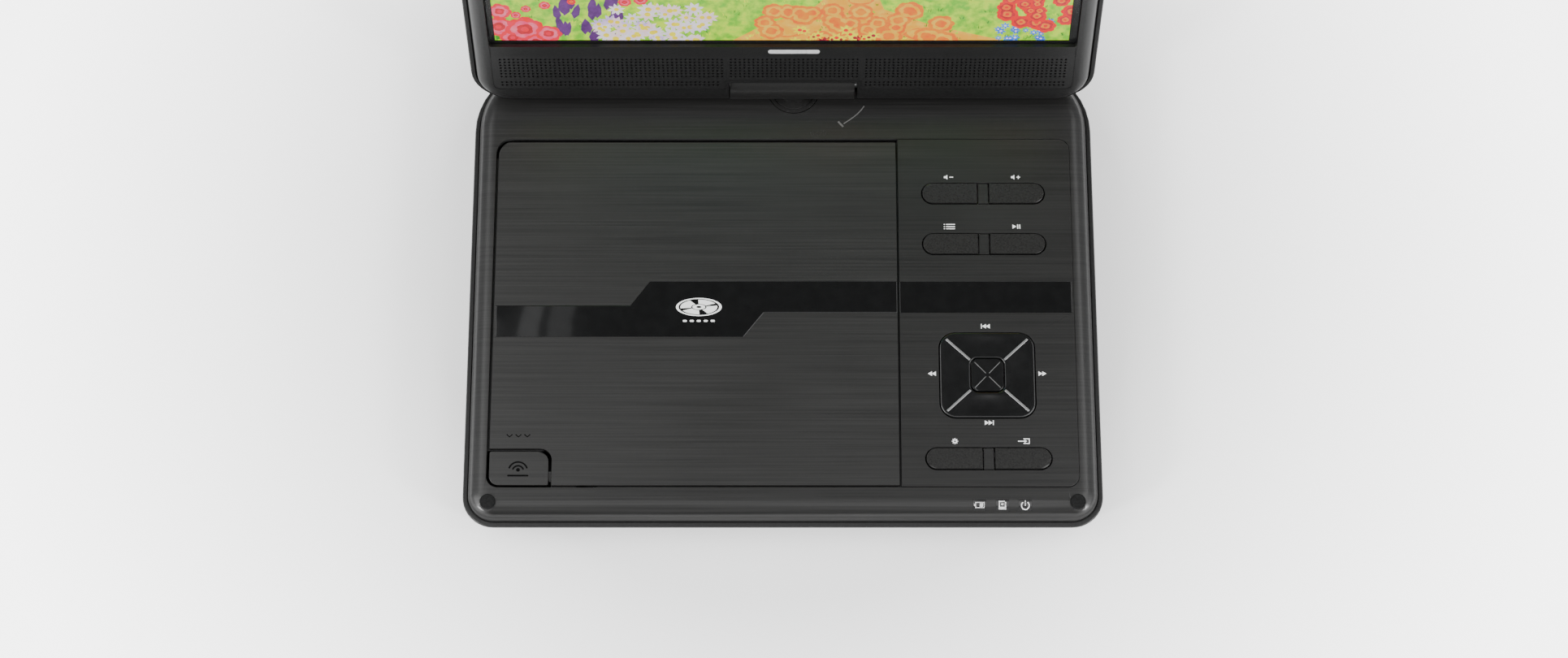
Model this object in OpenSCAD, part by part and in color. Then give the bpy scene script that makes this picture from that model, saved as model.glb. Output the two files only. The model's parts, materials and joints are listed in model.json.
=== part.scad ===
// Portable disc player: a base with a hinged disc door and a key panel, and a display lid
// on a swivel hinge. X runs left to right, Y from the user to the back, Z up from the table.
// The origin is on the table under the middle of the open player.

/* [Base] */
// Width of the base across its lip
base_w = 245.2; // [245:0.1:247]
// Depth of the base
base_d = 192.4; // [192:0.1:194]
// Corner radius at the front
base_front_r = 12.2; // [11:0.1:14]
// Corner radius at the back
base_rear_r = 29; // [26:0.5:32]
// Height of the rubber feet under the lower case
foot_h = 2; // [1.5:0.1:3]
// Height of the flat deck above the table
deck_z = 25; // [25:0.1:26]

/* [Disc bay] */
// Left edge of the disc door
door_left = -112.1; // [-112.4:0.1:-111.8]
// Right edge of the disc door
door_right = 44.5; // [44.3:0.1:44.6]
// Disc spindle, across
spindle_x = -33.5; // [-36:0.5:-31]
// Disc spindle, from the front edge
spindle_d = 85; // [84:0.5:86]
// Radius of the disc well
well_r = 62; // [61.5:0.1:62.5]
// Radius of the boss that centres a disc with a 15 mm hole
hub_r = 7.35; // [7.3:0.01:7.4]
// Travel of the laser sled
sled_travel = 34; // [20:1:34]

/* [Controls] */
// Left edge of the key panel
panel_left = 45.4; // [45.3:0.1:45.6]
// Length of a pair of keys
key_pair_w = 48.7; // [46:0.1:50]
// Width of a key from front to back
key_d = 9.2; // [8:0.1:10]
// Width of the direction pad
pad_w = 37.4; // [34:0.1:38]
// Depth of the direction pad
pad_d = 35.1; // [34:0.1:36]

/* [Lid] */
// Width of the lid across its lip
lid_w = 244.8; // [244:0.1:245]
// Length of the lid from the hinge axis to its top edge
lid_l = 178; // [177:0.5:178.4]
// Half of the lid's thickness, which is also the radius of its round lower edge
lid_half_t = 7; // [6.8:0.1:7]
// Opening of the lid from closed
lid_open = 106; // [90:1:130]
// Width of the visible picture
picture_w = 222.7; // [216:0.1:223]
// Height of the visible picture
picture_h = 125.3; // [120:0.1:126]

/* [Hinge] */
// Swivel axis, across
pivot_x = 4.3; // [4:0.1:4.5]
// Swivel axis, from the front edge
pivot_d = 178.4; // [178:0.1:178.6]
// Radius of the swivel disc
swivel_r = 10.2; // [10:0.1:11]
// Left end of the hinge barrel
barrel_left = -20.8; // [-21:0.1:-20]
// Right end of the hinge barrel
barrel_right = 28.2; // [27:0.1:28.4]

/* [Hidden] */
$fn = 64;

// Base levels
hinge_z = deck_z + 1 + lid_half_t;
case_floor_z = foot_h + 2.2;
case_step_z = foot_h + 4.8;
ledge_z = foot_h + 15.1;
lip_z = ledge_z + 1.2;
rim_z = deck_z - 4.4;
deck_wall_z = deck_z - 2.4;
panel_floor_z = deck_z - 2;
panel_block_z = deck_z - 3.6;
door_z = deck_z - 2.1;
lip_t = 1.75;
skirt_inset = 2.4;
case_inset = 3.2;
front_wall_d = 5.4;
front_step_z = foot_h + 12.4;
floor_inset = 7;
rim_run = 6.35;

// The lid's furthest reach behind the front edge sets the middle of the footprint
lean = lid_open - 90;
lid_back_d = pivot_d + (lid_l - lid_half_t) * sin(lean) + lid_half_t;
origin_d = lid_back_d / 2;

// The bay that holds the door and the panel
bay_x = 113.2;
bay_front = 13.8;
bay_rear = 157.2;
bay_r = 4.7;
bay_corner_r = 6;
door_corner_r = 6.2;
door_front = bay_front + 0.9;
door_rear = bay_rear - 1.1;
split_x = (door_right + panel_left) / 2;
door_axis_d = door_rear - 3.8;
door_axis_z = deck_z - 3.3;
door_pin_r = 0.75;
door_ears = [-98, 30];

// The corner button that opens the door
button_right = -89.5;
button_rear = 28;
button_gap = 1.3;
button_travel = 1.2;
hook_x = -75;
lens_x = [74.75, 83.45, 92.15];
lens_front = 4.9;
lens_rear = 9.1;
spring_x = -84;
spring_d = 21;
spring_z = 14.6;

// Stripe across the door and the panel
stripe_front = 84.3;
stripe_w = 12.8;
stripe_step = 9.9;
stripe_t = 0.5;

// Keys
key_x = 78.7;
key_gap = 0.55;
key_bridge = 3.8;
key_rows = [133.9, 112.7, 25.25];
key_top = deck_z + 0.5;
key_travel = 0.6;
pad_x = 78.85;
pad_mid_d = 58.75;
pad_r = 6.5;
pad_gap = 0.4;
pad_top = deck_z + 0.3;
pad_rib_h = 0.35;
pad_rib_w = 0.9;
enter_w = 13.3;
enter_d = 14;
pad_board_z = deck_z - 7.6;
sheet_z = pad_board_z + 1.8;
dome_z = sheet_z + 0.8;

// Mechanism
rod_z = 9.6;
rod_r = 1.5;
rod_x = 24;
rod_front = 15;
rod_rear = 74.5;
screw_x = spindle_x + 32;
screw_r = 1.5;
chassis_z = 12.4;
chassis_t = 1.2;
chassis_x = 42;
chassis_front = 12.5;
chassis_rear = 112;
lens_d = spindle_d - 24;
slot_front = lens_d - sled_travel - 6.5;
run_gap = 0.05;

// Ports in the right wall, from the front edge
wall_x = base_w / 2;
port_z = 11;
switch_d = 141;
inlet_d = 124;
video_d = 108;
earphone_d = [94, 81];
usb_d = 62;
card_d = 36;
board_z = 5.8;
board_top_z = board_z + 1.2;

// Lid levels, measured from the hinge axis towards the front of the display
lid_ledge = 2.2;
lid_lip = 3.4;
lid_wall = 1.8;
lid_front_z = lid_half_t - lid_wall;
lid_floor_z = -5.2;
lid_top_r = 12;
lid_bottom_r = 16;
grille_x = 113.6;
grille_bottom = 3.6;
grille_top = 23.8;
window_x = picture_w / 2 + 2.3;
window_bottom = 29.2;
picture_bottom = 30.2;
window_top = picture_bottom + picture_h + 2.2;
notch_left = barrel_left - 0.4;
notch_right = barrel_right + 1.1;
notch_l = lid_half_t + 0.4;
shaft_r = 2.5;

deck_screws = [[-70, 9.4], [70, 9.4], [-92, 172], [92, 172]];
well_screws = [[-107, 60], [40, 60]];
screw_places = concat(deck_screws, well_screws);
lid_screw_places = [[-109, 13.7], [109, 13.7], [-109, 168], [109, 168]];
foot_places = [[-98, 24], [98, 24], [-92, 172], [92, 172]];
damper_places = [
    for (sx = [-38.6, 38.6]) for (d = [chassis_front + 4.5, chassis_rear - 5])
    [spindle_x + sx, d]
];

// Y of a point that lies d behind the front edge
function y_at(d) = d - origin_d;

// Height of the deck's rounded rim at a depth from the front edge
function slope_z(d) =
    rim_z + (deck_z - rim_z) * sqrt(1 - pow(max(0, 1 - (d - skirt_inset) / rim_run), 2));

// Points of a quarter circle
function arc(cx, cy, r, start, steps) = [
    for (i = [0:steps])
    [cx + r * cos(start + 90 * i / steps), cy + r * sin(start + 90 * i / steps)]
];

// Closed outline of a plate with its front corners of radius rf and its back corners of rr
function outline(w, y0, y1, rf, rr, inset, steps) = concat(
    arc(w / 2 - rr, y1 - rr, rr - inset, 0, steps),
    arc(-w / 2 + rr, y1 - rr, rr - inset, 90, steps),
    arc(-w / 2 + rf, y0 + rf, rf - inset, 180, steps),
    arc(w / 2 - rf, y0 + rf, rf - inset, 270, steps)
);

// Solid whose outline shrinks by levels[i][0] at height levels[i][1]; a third value moves its
// front edge back
module pillow(w, y0, y1, rf, rr, levels, steps = 10) {
    n = 4 * (steps + 1);
    last = len(levels) - 1;
    points = [
        for (level = levels)
        let (front = len(level) > 2 ? y0 + level[2] : y0)
        for (p = outline(w, front, y1, rf, rr, level[0], steps))
        [p[0], p[1], level[1]]
    ];
    sides = [
        for (k = [0:last - 1])
        for (i = [0:n - 1])
        [k * n + i, (k + 1) * n + i, (k + 1) * n + (i + 1) % n, k * n + (i + 1) % n]
    ];
    bottom = [for (i = [0:n - 1]) i];
    top = [for (i = [n - 1:-1:0]) last * n + i];
    polyhedron(points, concat(sides, [bottom, top]), convexity = 4);
}

// Flat plate with true round corners, between two depths and two heights
module plate(x0, x1, y0, y1, z0, z1, rf = 0, rr = 0) {
    translate([0, 0, z0])
        linear_extrude(z1 - z0) {
            polygon([
                [x0 + rf, y0], [x1 - rf, y0], [x1, y0 + rf], [x1, y1 - rr],
                [x1 - rr, y1], [x0 + rr, y1], [x0, y1 - rr], [x0, y0 + rf]
            ]);
            if (rf > 0) {
                for (x = [x0 + rf, x1 - rf]) translate([x, y0 + rf]) circle(rf);
            }
            if (rr > 0) {
                for (x = [x0 + rr, x1 - rr]) translate([x, y1 - rr]) circle(rr);
            }
        }
}

// The same plate on the base, with depths from the front edge and one corner radius
module base_plate(x0, x1, d0, d1, z0, z1, r = 0) {
    plate(x0, x1, y_at(d0), y_at(d1), z0, z1, r, r);
}

// Plate that follows the base's outline at an inset
module case_plate(inset, z0, z1) {
    plate(
        -base_w / 2 + inset, base_w / 2 - inset, y_at(inset), y_at(base_d - inset), z0, z1,
        base_front_r - inset, base_rear_r - inset
    );
}

// Plate that follows the lid's outline at an inset, in the lid's own frame
module lid_plate(inset, z0, z1) {
    plate(
        -lid_w / 2 + inset, lid_w / 2 - inset, -lid_half_t + inset, lid_l - inset, z0, z1,
        lid_bottom_r - inset, lid_top_r - inset
    );
}

// Upright cylinder on the base
module post(x, d, z0, z1, r) {
    translate([x, y_at(d), z0]) cylinder(h = z1 - z0, r = r);
}

// Cylinder along X
module bar_x(x0, x1, y, z, r) {
    translate([x0, y, z]) rotate([0, 90, 0]) cylinder(h = x1 - x0, r = r);
}

// Cylinder along Y between two depths from the front edge
module bar_y(x, d0, d1, z, r) {
    translate([x, y_at(d0), z]) rotate([-90, 0, 0]) cylinder(h = d1 - d0, r = r);
}

// The lid's own frame: X along the hinge axis, Y up the lid, Z out of the display
module on_lid() {
    translate([0, y_at(pivot_d), hinge_z]) rotate([180 - lid_open, 0, 0]) children();
}

// Pill-shaped hole or block for a pair of keys
module key_pill(d, grow, z0, z1) {
    half = key_d / 2 + grow;
    base_plate(
        key_x - key_pair_w / 2 - grow, key_x + key_pair_w / 2 + grow,
        d - half, d + half, z0, z1, half - 0.01
    );
}

// One of the two keys in a pill: side is -1 for the left key and 1 for the right
module half_key(d, side) {
    far = key_pair_w;
    near = key_bridge / 2 + key_gap;
    for (layer = [[-key_gap, deck_z - 2.4, key_top], [0.4, deck_z - 3.4, deck_z - 2.2]]) {
        intersection() {
            key_pill(d, layer[0], layer[1], layer[2]);
            translate([key_x + (side < 0 ? -far : near), y_at(d) - key_d, layer[1] - 1])
                cube([far - near, 2 * key_d, 6]);
        }
    }
    post(key_x + side * key_pair_w / 4, d, deck_z - 3.7, deck_z - 3, 1.6);
}

// Rounded rectangle around the direction pad's centre
module pad_plate(w, d, z0, z1, r) {
    base_plate(pad_x - w / 2, pad_x + w / 2, pad_mid_d - d / 2, pad_mid_d + d / 2, z0, z1, r);
}

module lower_case() {
    levels = [
        [6.5, foot_h], [4.2, foot_h + 0.7, 0.5], [2.4, foot_h + 2.2, 1.4],
        [1.1, foot_h + 4.4, 2.2], [0.35, foot_h + 7, 2.4], [0, foot_h + 10.5, 1.8],
        [0, lip_z - 2.6, 0.7], [0, lip_z - 0.9], [0.15, lip_z - 0.3], [0.5, lip_z]
    ];
    color([0.11, 0.11, 0.12])
        difference() {
            union() {
                difference() {
                    pillow(base_w, y_at(0), y_at(base_d), base_front_r, base_rear_r, levels);
                    case_plate(floor_inset, case_floor_z, case_step_z + 0.1);
                    plate(
                        -base_w / 2 + case_inset, base_w / 2 - case_inset,
                        y_at(front_wall_d), y_at(base_d - case_inset), case_step_z,
                        front_step_z + 0.1, base_front_r - case_inset, base_rear_r - case_inset
                    );
                    case_plate(case_inset, front_step_z, lip_z + 1);
                    case_plate(lip_t, ledge_z, lip_z + 1);
                }
                for (p = screw_places) post(p[0], p[1], foot_h + 1, 11, 2.2);
                for (p = damper_places) post(p[0], p[1], foot_h + 1, chassis_z - 3, 2);
                post(spring_x, spring_d, foot_h + 1, spring_z - 2.1, 2);
                for (d = [30, 140]) {
                    for (x = [56, 100]) post(x, d, foot_h + 1, board_z, 2);
                }
            }
            for (p = screw_places) {
                post(p[0], p[1], foot_h - 1, foot_h + 1.8, 1.9);
                post(p[0], p[1], foot_h - 1, 12, 1.2);
            }
            for (x = [-66:6:0]) base_plate(x, x + 2.2, 128, 150, foot_h - 1, case_floor_z + 1);
            for (d = concat([video_d], earphone_d)) {
                bar_x(wall_x - 6, wall_x + 1, y_at(d), port_z, 3.4);
            }
            bar_x(wall_x - 6, wall_x + 1, y_at(inlet_d), port_z, 4);
            base_plate(wall_x - 6, wall_x + 1, usb_d - 7.3, usb_d + 7.3, port_z - 3.5, port_z + 3.5);
            base_plate(wall_x - 6, wall_x + 1, card_d - 13, card_d + 13, port_z - 1.5, port_z + 1.5);
            base_plate(wall_x - 6, wall_x + 1, switch_d - 5.5, switch_d + 5.5, port_z - 2, port_z + 2);
        }
}

module upper_deck() {
    rim = [
        for (a = [0:15:90])
        [skirt_inset + rim_run * (1 - cos(a)), rim_z + (deck_z - rim_z) * sin(a)]
    ];
    color([0.13, 0.13, 0.14])
        difference() {
            union() {
                difference() {
                    pillow(
                        base_w, y_at(0), y_at(base_d), base_front_r, base_rear_r,
                        concat([[skirt_inset, ledge_z]], rim)
                    );
                    case_plate(case_inset + 0.6, ledge_z - 1, rim_z);
                    case_plate(case_inset + 2.2, rim_z - 0.1, deck_wall_z);
                }
                post(pivot_x, pivot_d, rim_z, deck_z, 12);
                base_plate(split_x, bay_x + 2.8, 12, 159, panel_block_z, deck_wall_z + 0.1);
                for (p = deck_screws) post(p[0], p[1], 11, deck_wall_z + 0.1, 2.2);
                for (x = [50.5, 109.5]) {
                    for (d = [20, 147]) post(x, d, pad_board_z + 1.2, deck_wall_z, 1.6);
                }
            }
            base_plate(
                split_x - 10, bay_x, bay_front, bay_rear, panel_floor_z, deck_z + 1, bay_r
            );
            door_bay(split_x + 10, panel_floor_z, deck_z + 1);
            door_bay(split_x, deck_wall_z - 0.05, deck_z);
            base_plate(split_x - 12, split_x, bay_front, bay_rear, deck_wall_z - 0.05, deck_z);
            for (d = key_rows) key_pill(d, 1.1, panel_block_z - 1, deck_z);
            pad_plate(pad_w + 2.4, pad_d + 2.4, panel_block_z - 1, deck_z, pad_r + 1);
            for (p = deck_screws) post(p[0], p[1], 10, deck_wall_z - 4, 1.2);
            for (side = [-1, 1]) post(side * 112.2, 8.2, deck_z - 1.6, deck_z + 1, 2.95);
            for (x = lens_x) {
                base_plate(x - 2.5, x + 2.5, lens_front, lens_rear, deck_wall_z - 1, deck_z + 1);
            }
            post(pivot_x, pivot_d, deck_z - 1.8, deck_z + 1, swivel_r + 0.25);
            post(pivot_x, pivot_d, rim_z - 1, deck_z, 8 + run_gap);
        }
}

// Opening for the door, out to x1, with the wider corner at its rear left
module door_bay(x1, z0, z1) {
    plate(-bay_x, x1, y_at(bay_front), y_at(bay_rear), z0, z1, bay_r, bay_corner_r);
}

// Lug on the well that holds one end of a door hinge pin
module door_ear(x) {
    bar_x(x - 1.2, x + 1.2, y_at(door_axis_d), door_axis_z, 1.9);
    base_plate(x - 1.2, x + 1.2, door_axis_d - 4, door_axis_d, door_axis_z - 1.9, door_axis_z + 0.3);
}

module control_panel() {
    color([0.14, 0.14, 0.15])
        difference() {
            base_plate(
                panel_left - 8, bay_x - 0.15, bay_front + 0.4, bay_rear - 0.3,
                panel_floor_z, deck_z, bay_r - 0.2
            );
            base_plate(panel_left - 9, panel_left, bay_front, bay_rear, panel_floor_z - 1, deck_z + 1);
            for (d = key_rows) {
                difference() {
                    key_pill(d, 0, panel_floor_z - 1, deck_z + 1);
                    bridge_bar(d, key_d, deck_z - 1.2);
                    bridge_bar(d, key_d / 2 - key_gap, deck_z - 0.1);
                }
            }
            pad_plate(pad_w, pad_d, panel_floor_z - 1, deck_z + 1, pad_r);
            stripe_slot();
        }
}

// Bar between the two keys of a pair, half_d to each side of the row, up to a height
module bridge_bar(d, half_d, top) {
    half_x = key_bridge / 2;
    base_plate(key_x - half_x, key_x + half_x, d - half_d, d + half_d, panel_floor_z - 2, top);
}

// Slot across the panel for its half of the stripe
module stripe_slot() {
    front = stripe_front;
    base_plate(panel_left - 1, bay_x - 0.8, front, front + stripe_w, deck_z - stripe_t, deck_z + 1);
}

module panel_stripe() {
    front = stripe_front;
    color([0.03, 0.03, 0.035])
        base_plate(panel_left, bay_x - 0.8, front, front + stripe_w, deck_z - stripe_t, deck_z);
}

// Outline of the stripe on the door, with its two steps, from the door's left edge
module door_stripe_shape() {
    low = stripe_front - stripe_step;
    polygon([
        [door_left + 0.7, y_at(low)], [-15.2, y_at(low)],
        [-7.4, y_at(stripe_front)], [door_right, y_at(stripe_front)],
        [door_right, y_at(stripe_front + stripe_w)], [-51.8, y_at(stripe_front + stripe_w)],
        [-59.2, y_at(low + stripe_w)], [door_left + 0.7, y_at(low + stripe_w)]
    ]);
}

module disc_well() {
    plate_z = deck_wall_z - 1.6;
    floor_z = 15.5;
    floor_t = 1.4;
    scoop_z = 18;
    sides = [-1, 1];
    color([0.10, 0.10, 0.11])
        difference() {
            union() {
                base_plate(-bay_x - 1.7, split_x, 12, door_axis_d - 2.6, plate_z, deck_wall_z);
                post(spindle_x, spindle_d, floor_z - floor_t, deck_wall_z, well_r + 1.5);
                for (s = sides) {
                    post(spindle_x + s * 60, spindle_d, scoop_z - floor_t, deck_wall_z, 12.5);
                }
                base_plate(hook_x + 6, hook_x + 12, 13.9, 19.1, 16, plate_z + 0.1);
                for (p = well_screws) post(p[0], p[1], 11, deck_wall_z, 2.2);
                for (x = door_ears) {
                    for (side = [-1, 1]) door_ear(x + side * 6);
                }
            }
            for (p = well_screws) post(p[0], p[1], 10, deck_wall_z - 4, 1.2);
            base_plate(hook_x + 5, hook_x + 13, 14.6, 18.4, 16.8, 19);
            for (x = door_ears) {
                bar_x(x - 8, x + 8, y_at(door_axis_d), door_axis_z, door_pin_r);
            }
            post(spindle_x, spindle_d, floor_z, deck_z, well_r);
            for (s = sides) post(spindle_x + s * 60, spindle_d, scoop_z, deck_z, 11);
            post(spindle_x, spindle_d, floor_z - 2, deck_z, 16.2);
            base_plate(spindle_x - 15, spindle_x + 15, slot_front, spindle_d, floor_z - 2, floor_z + 1);
            base_plate(-bay_x - 3, button_right + 1, 11, button_rear + 1, plate_z - 1, deck_z);
            base_plate(hook_x - 4, hook_x + 4, 13.5, 19, plate_z - 1, deck_z);
        }
}

module loader_chassis() {
    rod_places = [spindle_x - rod_x, spindle_x + rod_x, screw_x];
    color([0.55, 0.56, 0.58])
        difference() {
            union() {
                base_plate(
                    spindle_x - chassis_x, spindle_x + chassis_x,
                    chassis_front, chassis_rear, chassis_z, chassis_z + chassis_t, 3
                );
                base_plate(screw_x - 3, screw_x + 3, 95.5, 97, rod_z - 2.6, chassis_z + 0.2);
                for (x = rod_places) {
                    for (d = [chassis_front + 0.5, rod_rear - 2]) {
                        base_plate(x - 3, x + 3, d, d + 3, rod_z - 2.6, chassis_z + 0.2);
                    }
                }
            }
            for (x = [spindle_x - rod_x, spindle_x + rod_x]) {
                bar_y(x, rod_front - 0.5, rod_rear + 0.5, rod_z, rod_r);
            }
            bar_y(screw_x, chassis_front - 1, rod_rear + 2, rod_z, screw_r + run_gap);
            base_plate(
                spindle_x - 16.5, spindle_x + 16.5, slot_front - 4, spindle_d - 13,
                chassis_z - 1, chassis_z + 3, 3
            );
            base_plate(screw_x - 4.6, screw_x + 4.6, 79.5, 94.5, chassis_z - 1, chassis_z + 3);
            post(spindle_x, spindle_d, chassis_z - 1, chassis_z + 3, 5);
            for (d = [80, 98]) {
                for (side = [-1, 1]) post(spindle_x + side * 30, d, chassis_z - 1, chassis_z + 3, 4);
            }
        }
}

module chassis_dampers() {
    color([0.2, 0.2, 0.2])
        for (p = damper_places) {
            translate([p[0], y_at(p[1]), chassis_z - 3])
                rotate_extrude()
                    polygon([
                        [0, 0], [3.4, 0], [3.4, 1], [2.6, 1.3], [2.6, 1.7], [3.4, 2], [3.4, 3], [0, 3]
                    ]);
        }
}

module guide_rods() {
    color([0.8, 0.8, 0.82])
        for (side = [-1, 1]) {
            bar_y(spindle_x + side * rod_x, rod_front - 0.5, rod_rear + 0.5, rod_z, rod_r);
        }
}

module spindle_motor() {
    color([0.62, 0.62, 0.64])
        difference() {
            union() {
                post(spindle_x, spindle_d, 5.8, chassis_z - 0.8, 10.5);
                post(spindle_x, spindle_d, chassis_z - 0.8, chassis_z, 11);
                post(spindle_x, spindle_d, chassis_z, chassis_z + 1.6, 3);
            }
            post(spindle_x, spindle_d, 6.6, chassis_z + 3, 1 + run_gap);
        }
}

module sled_motor() {
    color([0.62, 0.62, 0.64])
        difference() {
            union() {
                bar_y(screw_x, 80, 94, rod_z, 4);
                bar_y(screw_x, 94, 95.5, rod_z, 1.6);
            }
            bar_y(screw_x, 79, 84, rod_z, 1.1);
        }
}

module main_board() {
    color([0.05, 0.28, 0.14])
        base_plate(51, 114, 26, 148, board_z, board_top_z);
    color([0.08, 0.08, 0.09]) {
        base_plate(60, 76, 60, 76, board_top_z, 8.4);
        base_plate(60, 70, 90, 106, board_top_z, 8.2);
        base_plate(82, 90, 112, 126, board_top_z, 8.2);
        base_plate(84, 94, 64, 74, board_top_z, 8.2);
        for (d = [34, 44]) post(58, d, board_top_z, 8.8, 3);
    }
}

module keypad_board() {
    color([0.05, 0.28, 0.14]) base_plate(48, 112, 17, 150, pad_board_z, pad_board_z + 1.2, 2);
}

module key_membrane() {
    color([0.75, 0.75, 0.73]) {
        base_plate(57, 101, 18, 149, pad_board_z + 1.2, sheet_z, 3);
        for (d = key_rows) {
            for (side = [-1, 1]) post(key_x + side * key_pair_w / 4, d, sheet_z, dome_z, 2.6);
        }
        for (a = [0:90:270]) {
            post(pad_x + 14.8 * cos(a), pad_mid_d + 13.8 * sin(a), sheet_z, dome_z, 2.2);
        }
        post(pad_x, pad_mid_d, sheet_z, dome_z, 2.6);
    }
}

module battery_pack() {
    color([0.10, 0.25, 0.5])
        for (i = [0:2]) base_plate(50, 103, 26 + i * 36, 61 + i * 36, 9, pad_board_z, 3);
}

// Round 3.5 mm socket in the right wall
module round_socket(d) {
    difference() {
        union() {
            base_plate(wall_x - 16, wall_x - case_inset - 0.1, d - 4.6, d + 4.6, board_top_z, 14.6);
            bar_x(wall_x - 5, wall_x - 0.3, y_at(d), port_z, 3.2);
        }
        bar_x(wall_x - 14.3, wall_x + 1, y_at(d), port_z, 1.8);
    }
}

module earphone_sockets() {
    color([0.09, 0.09, 0.1]) for (d = earphone_d) round_socket(d);
}

module video_socket() {
    color([0.75, 0.65, 0.15]) round_socket(video_d);
}

module usb_socket() {
    inner = wall_x - 14;
    outer = wall_x - 0.9;
    color([0.7, 0.71, 0.73])
        difference() {
            base_plate(inner - 1, outer, usb_d - 7, usb_d + 7, port_z - 3.2, port_z + 3.2);
            base_plate(inner, outer + 1, usb_d - 6.3, usb_d + 6.3, port_z - 2.4, port_z + 2.4);
        }
    color([0.9, 0.9, 0.9])
        base_plate(inner, outer - 2, usb_d - 5.6, usb_d + 5.6, port_z + 0.5, port_z + 2.4);
    color([0.7, 0.71, 0.73])
        base_plate(inner, inner + 6, usb_d - 5, usb_d + 5, board_top_z, port_z - 3.2);
}

module card_socket() {
    inner = wall_x - 18;
    outer = wall_x - case_inset - 0.1;
    color([0.7, 0.71, 0.73])
        difference() {
            base_plate(inner - 1, outer, card_d - 13.6, card_d + 13.6, board_top_z, port_z + 2);
            base_plate(inner, outer + 1, card_d - 12.4, card_d + 12.4, port_z - 1.2, port_z + 1.2);
            base_plate(inner + 2, outer + 1, card_d - 11, card_d + 11, board_top_z - 1, port_z - 2);
        }
}

module power_inlet() {
    color([0.08, 0.08, 0.09]) {
        difference() {
            union() {
                base_plate(
                    wall_x - 16, wall_x - case_inset - 0.1, inlet_d - 5, inlet_d + 5,
                    board_top_z, 15.2
                );
                bar_x(wall_x - 5, wall_x - 0.3, y_at(inlet_d), port_z, 3.8);
            }
            bar_x(wall_x - 12, wall_x + 1, y_at(inlet_d), port_z, 2.8);
        }
        bar_x(wall_x - 12.5, wall_x - 2, y_at(inlet_d), port_z, 0.65);
    }
}

module indicator_lenses() {
    color([0.16, 0.16, 0.17])
        for (x = lens_x) {
            translate([x - 2.5, 0, 0])
                rotate([90, 0, 90])
                    linear_extrude(5) polygon(concat(
                        [for (d = [lens_front:0.7:lens_rear]) [y_at(d), slope_z(d) - 0.12]],
                        [[y_at(lens_rear), deck_wall_z], [y_at(lens_front), deck_wall_z]]
                    ));
        }
}

module deck_bumpers() {
    color([0.05, 0.05, 0.05])
        for (side = [-1, 1]) {
            post(side * 112.2, 8.2, deck_z - 1.6, deck_z + 0.6, 2.95);
            post(side * 112.2, 8.2, deck_z + 0.6, deck_z + 0.9, 2.6);
        }
}

module rubber_feet() {
    color([0.05, 0.05, 0.05])
        for (p = foot_places) {
            translate([p[0], y_at(p[1]), 0])
                rotate_extrude()
                    polygon([[0, 0], [6, 0], [6.8, 0.6], [7, foot_h], [0, foot_h]]);
        }
}

module case_screws() {
    color([0.5, 0.5, 0.52])
        for (p = screw_places) {
            difference() {
                union() {
                    post(p[0], p[1], foot_h + 0.4, foot_h + 1.8, 1.9);
                    post(p[0], p[1], foot_h + 1.8, deck_wall_z - 5, 1.2);
                }
                for (turn = [0, 90]) {
                    translate([p[0], y_at(p[1]), foot_h])
                        rotate(turn)
                            cube([2.2, 0.5, 2.2], center = true);
                }
            }
        }
}

module door_hinge_pins() {
    color([0.75, 0.75, 0.77])
        for (x = door_ears) {
            bar_x(x - 7.2, x + 7.2, y_at(door_axis_d), door_axis_z, door_pin_r);
        }
}

module latch_spring() {
    color([0.7, 0.7, 0.72]) {
        base_plate(spring_x - 20, spring_x, spring_d - 2, spring_d + 2, spring_z, spring_z + 0.4);
        base_plate(spring_x - 2, spring_x + 2, spring_d - 2, spring_d + 2, spring_z - 2.1, spring_z);
    }
}

module swivel_bearing() {
    color([0.6, 0.6, 0.62])
        difference() {
            post(pivot_x, pivot_d, rim_z - 3.4, rim_z, 10);
            post(pivot_x, pivot_d, rim_z - 4, rim_z + 1, 8 + run_gap);
        }
}

module swivel_turntable() {
    color([0.15, 0.15, 0.16])
        difference() {
            union() {
                post(pivot_x, pivot_d, deck_z - 1.6, deck_z + 0.3, swivel_r);
                post(pivot_x, pivot_d, rim_z - 7, deck_z - 1.6, 8);
                post(pivot_x, pivot_d, deck_z + 0.3, hinge_z - 1, 6);
            }
            post(pivot_x, pivot_d, rim_z - 8, hinge_z - 3, 3);
            translate([pivot_x, y_at(pivot_d), deck_z - 0.1])
                rotate_extrude()
                    translate([swivel_r - 1.9, 0]) square([0.6, 1]);
        }
}

module swivel_retainer() {
    color([0.7, 0.7, 0.72])
        difference() {
            post(pivot_x, pivot_d, rim_z - 5.6, rim_z - 3.8, 10.4);
            post(pivot_x, pivot_d, rim_z - 6, rim_z - 3, 8);
        }
}

module hinge_barrel() {
    axis_y = y_at(pivot_d);
    color([0.1, 0.1, 0.11])
        difference() {
            bar_x(barrel_left, barrel_right, axis_y, hinge_z, lid_half_t);
            post(pivot_x, pivot_d, 0, hinge_z - 1, 6);
            bar_x(barrel_left - 1, barrel_left + 9, axis_y, hinge_z, shaft_r);
            bar_x(barrel_right - 9, barrel_right + 1, axis_y, hinge_z, shaft_r);
        }
}

module hinge_shafts() {
    axis_y = y_at(pivot_d);
    ends = [[barrel_left - 6.8, barrel_left + 9], [barrel_right - 9, barrel_right + 6.8]];
    heads = [[barrel_left - 7.8, barrel_left - 6.8], [barrel_right + 6.8, barrel_right + 7.8]];
    color([0.75, 0.75, 0.77]) {
        for (e = ends) bar_x(e[0], e[1], axis_y, hinge_z, shaft_r);
        for (h = heads) bar_x(h[0], h[1], axis_y, hinge_z, 3.6);
    }
}

// Everything the hinge barrel needs clear in the lid, grown by g
module lid_notch(g) {
    plate(notch_left - g, notch_right + g, -20, notch_l + g, -20, 20);
}

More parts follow.
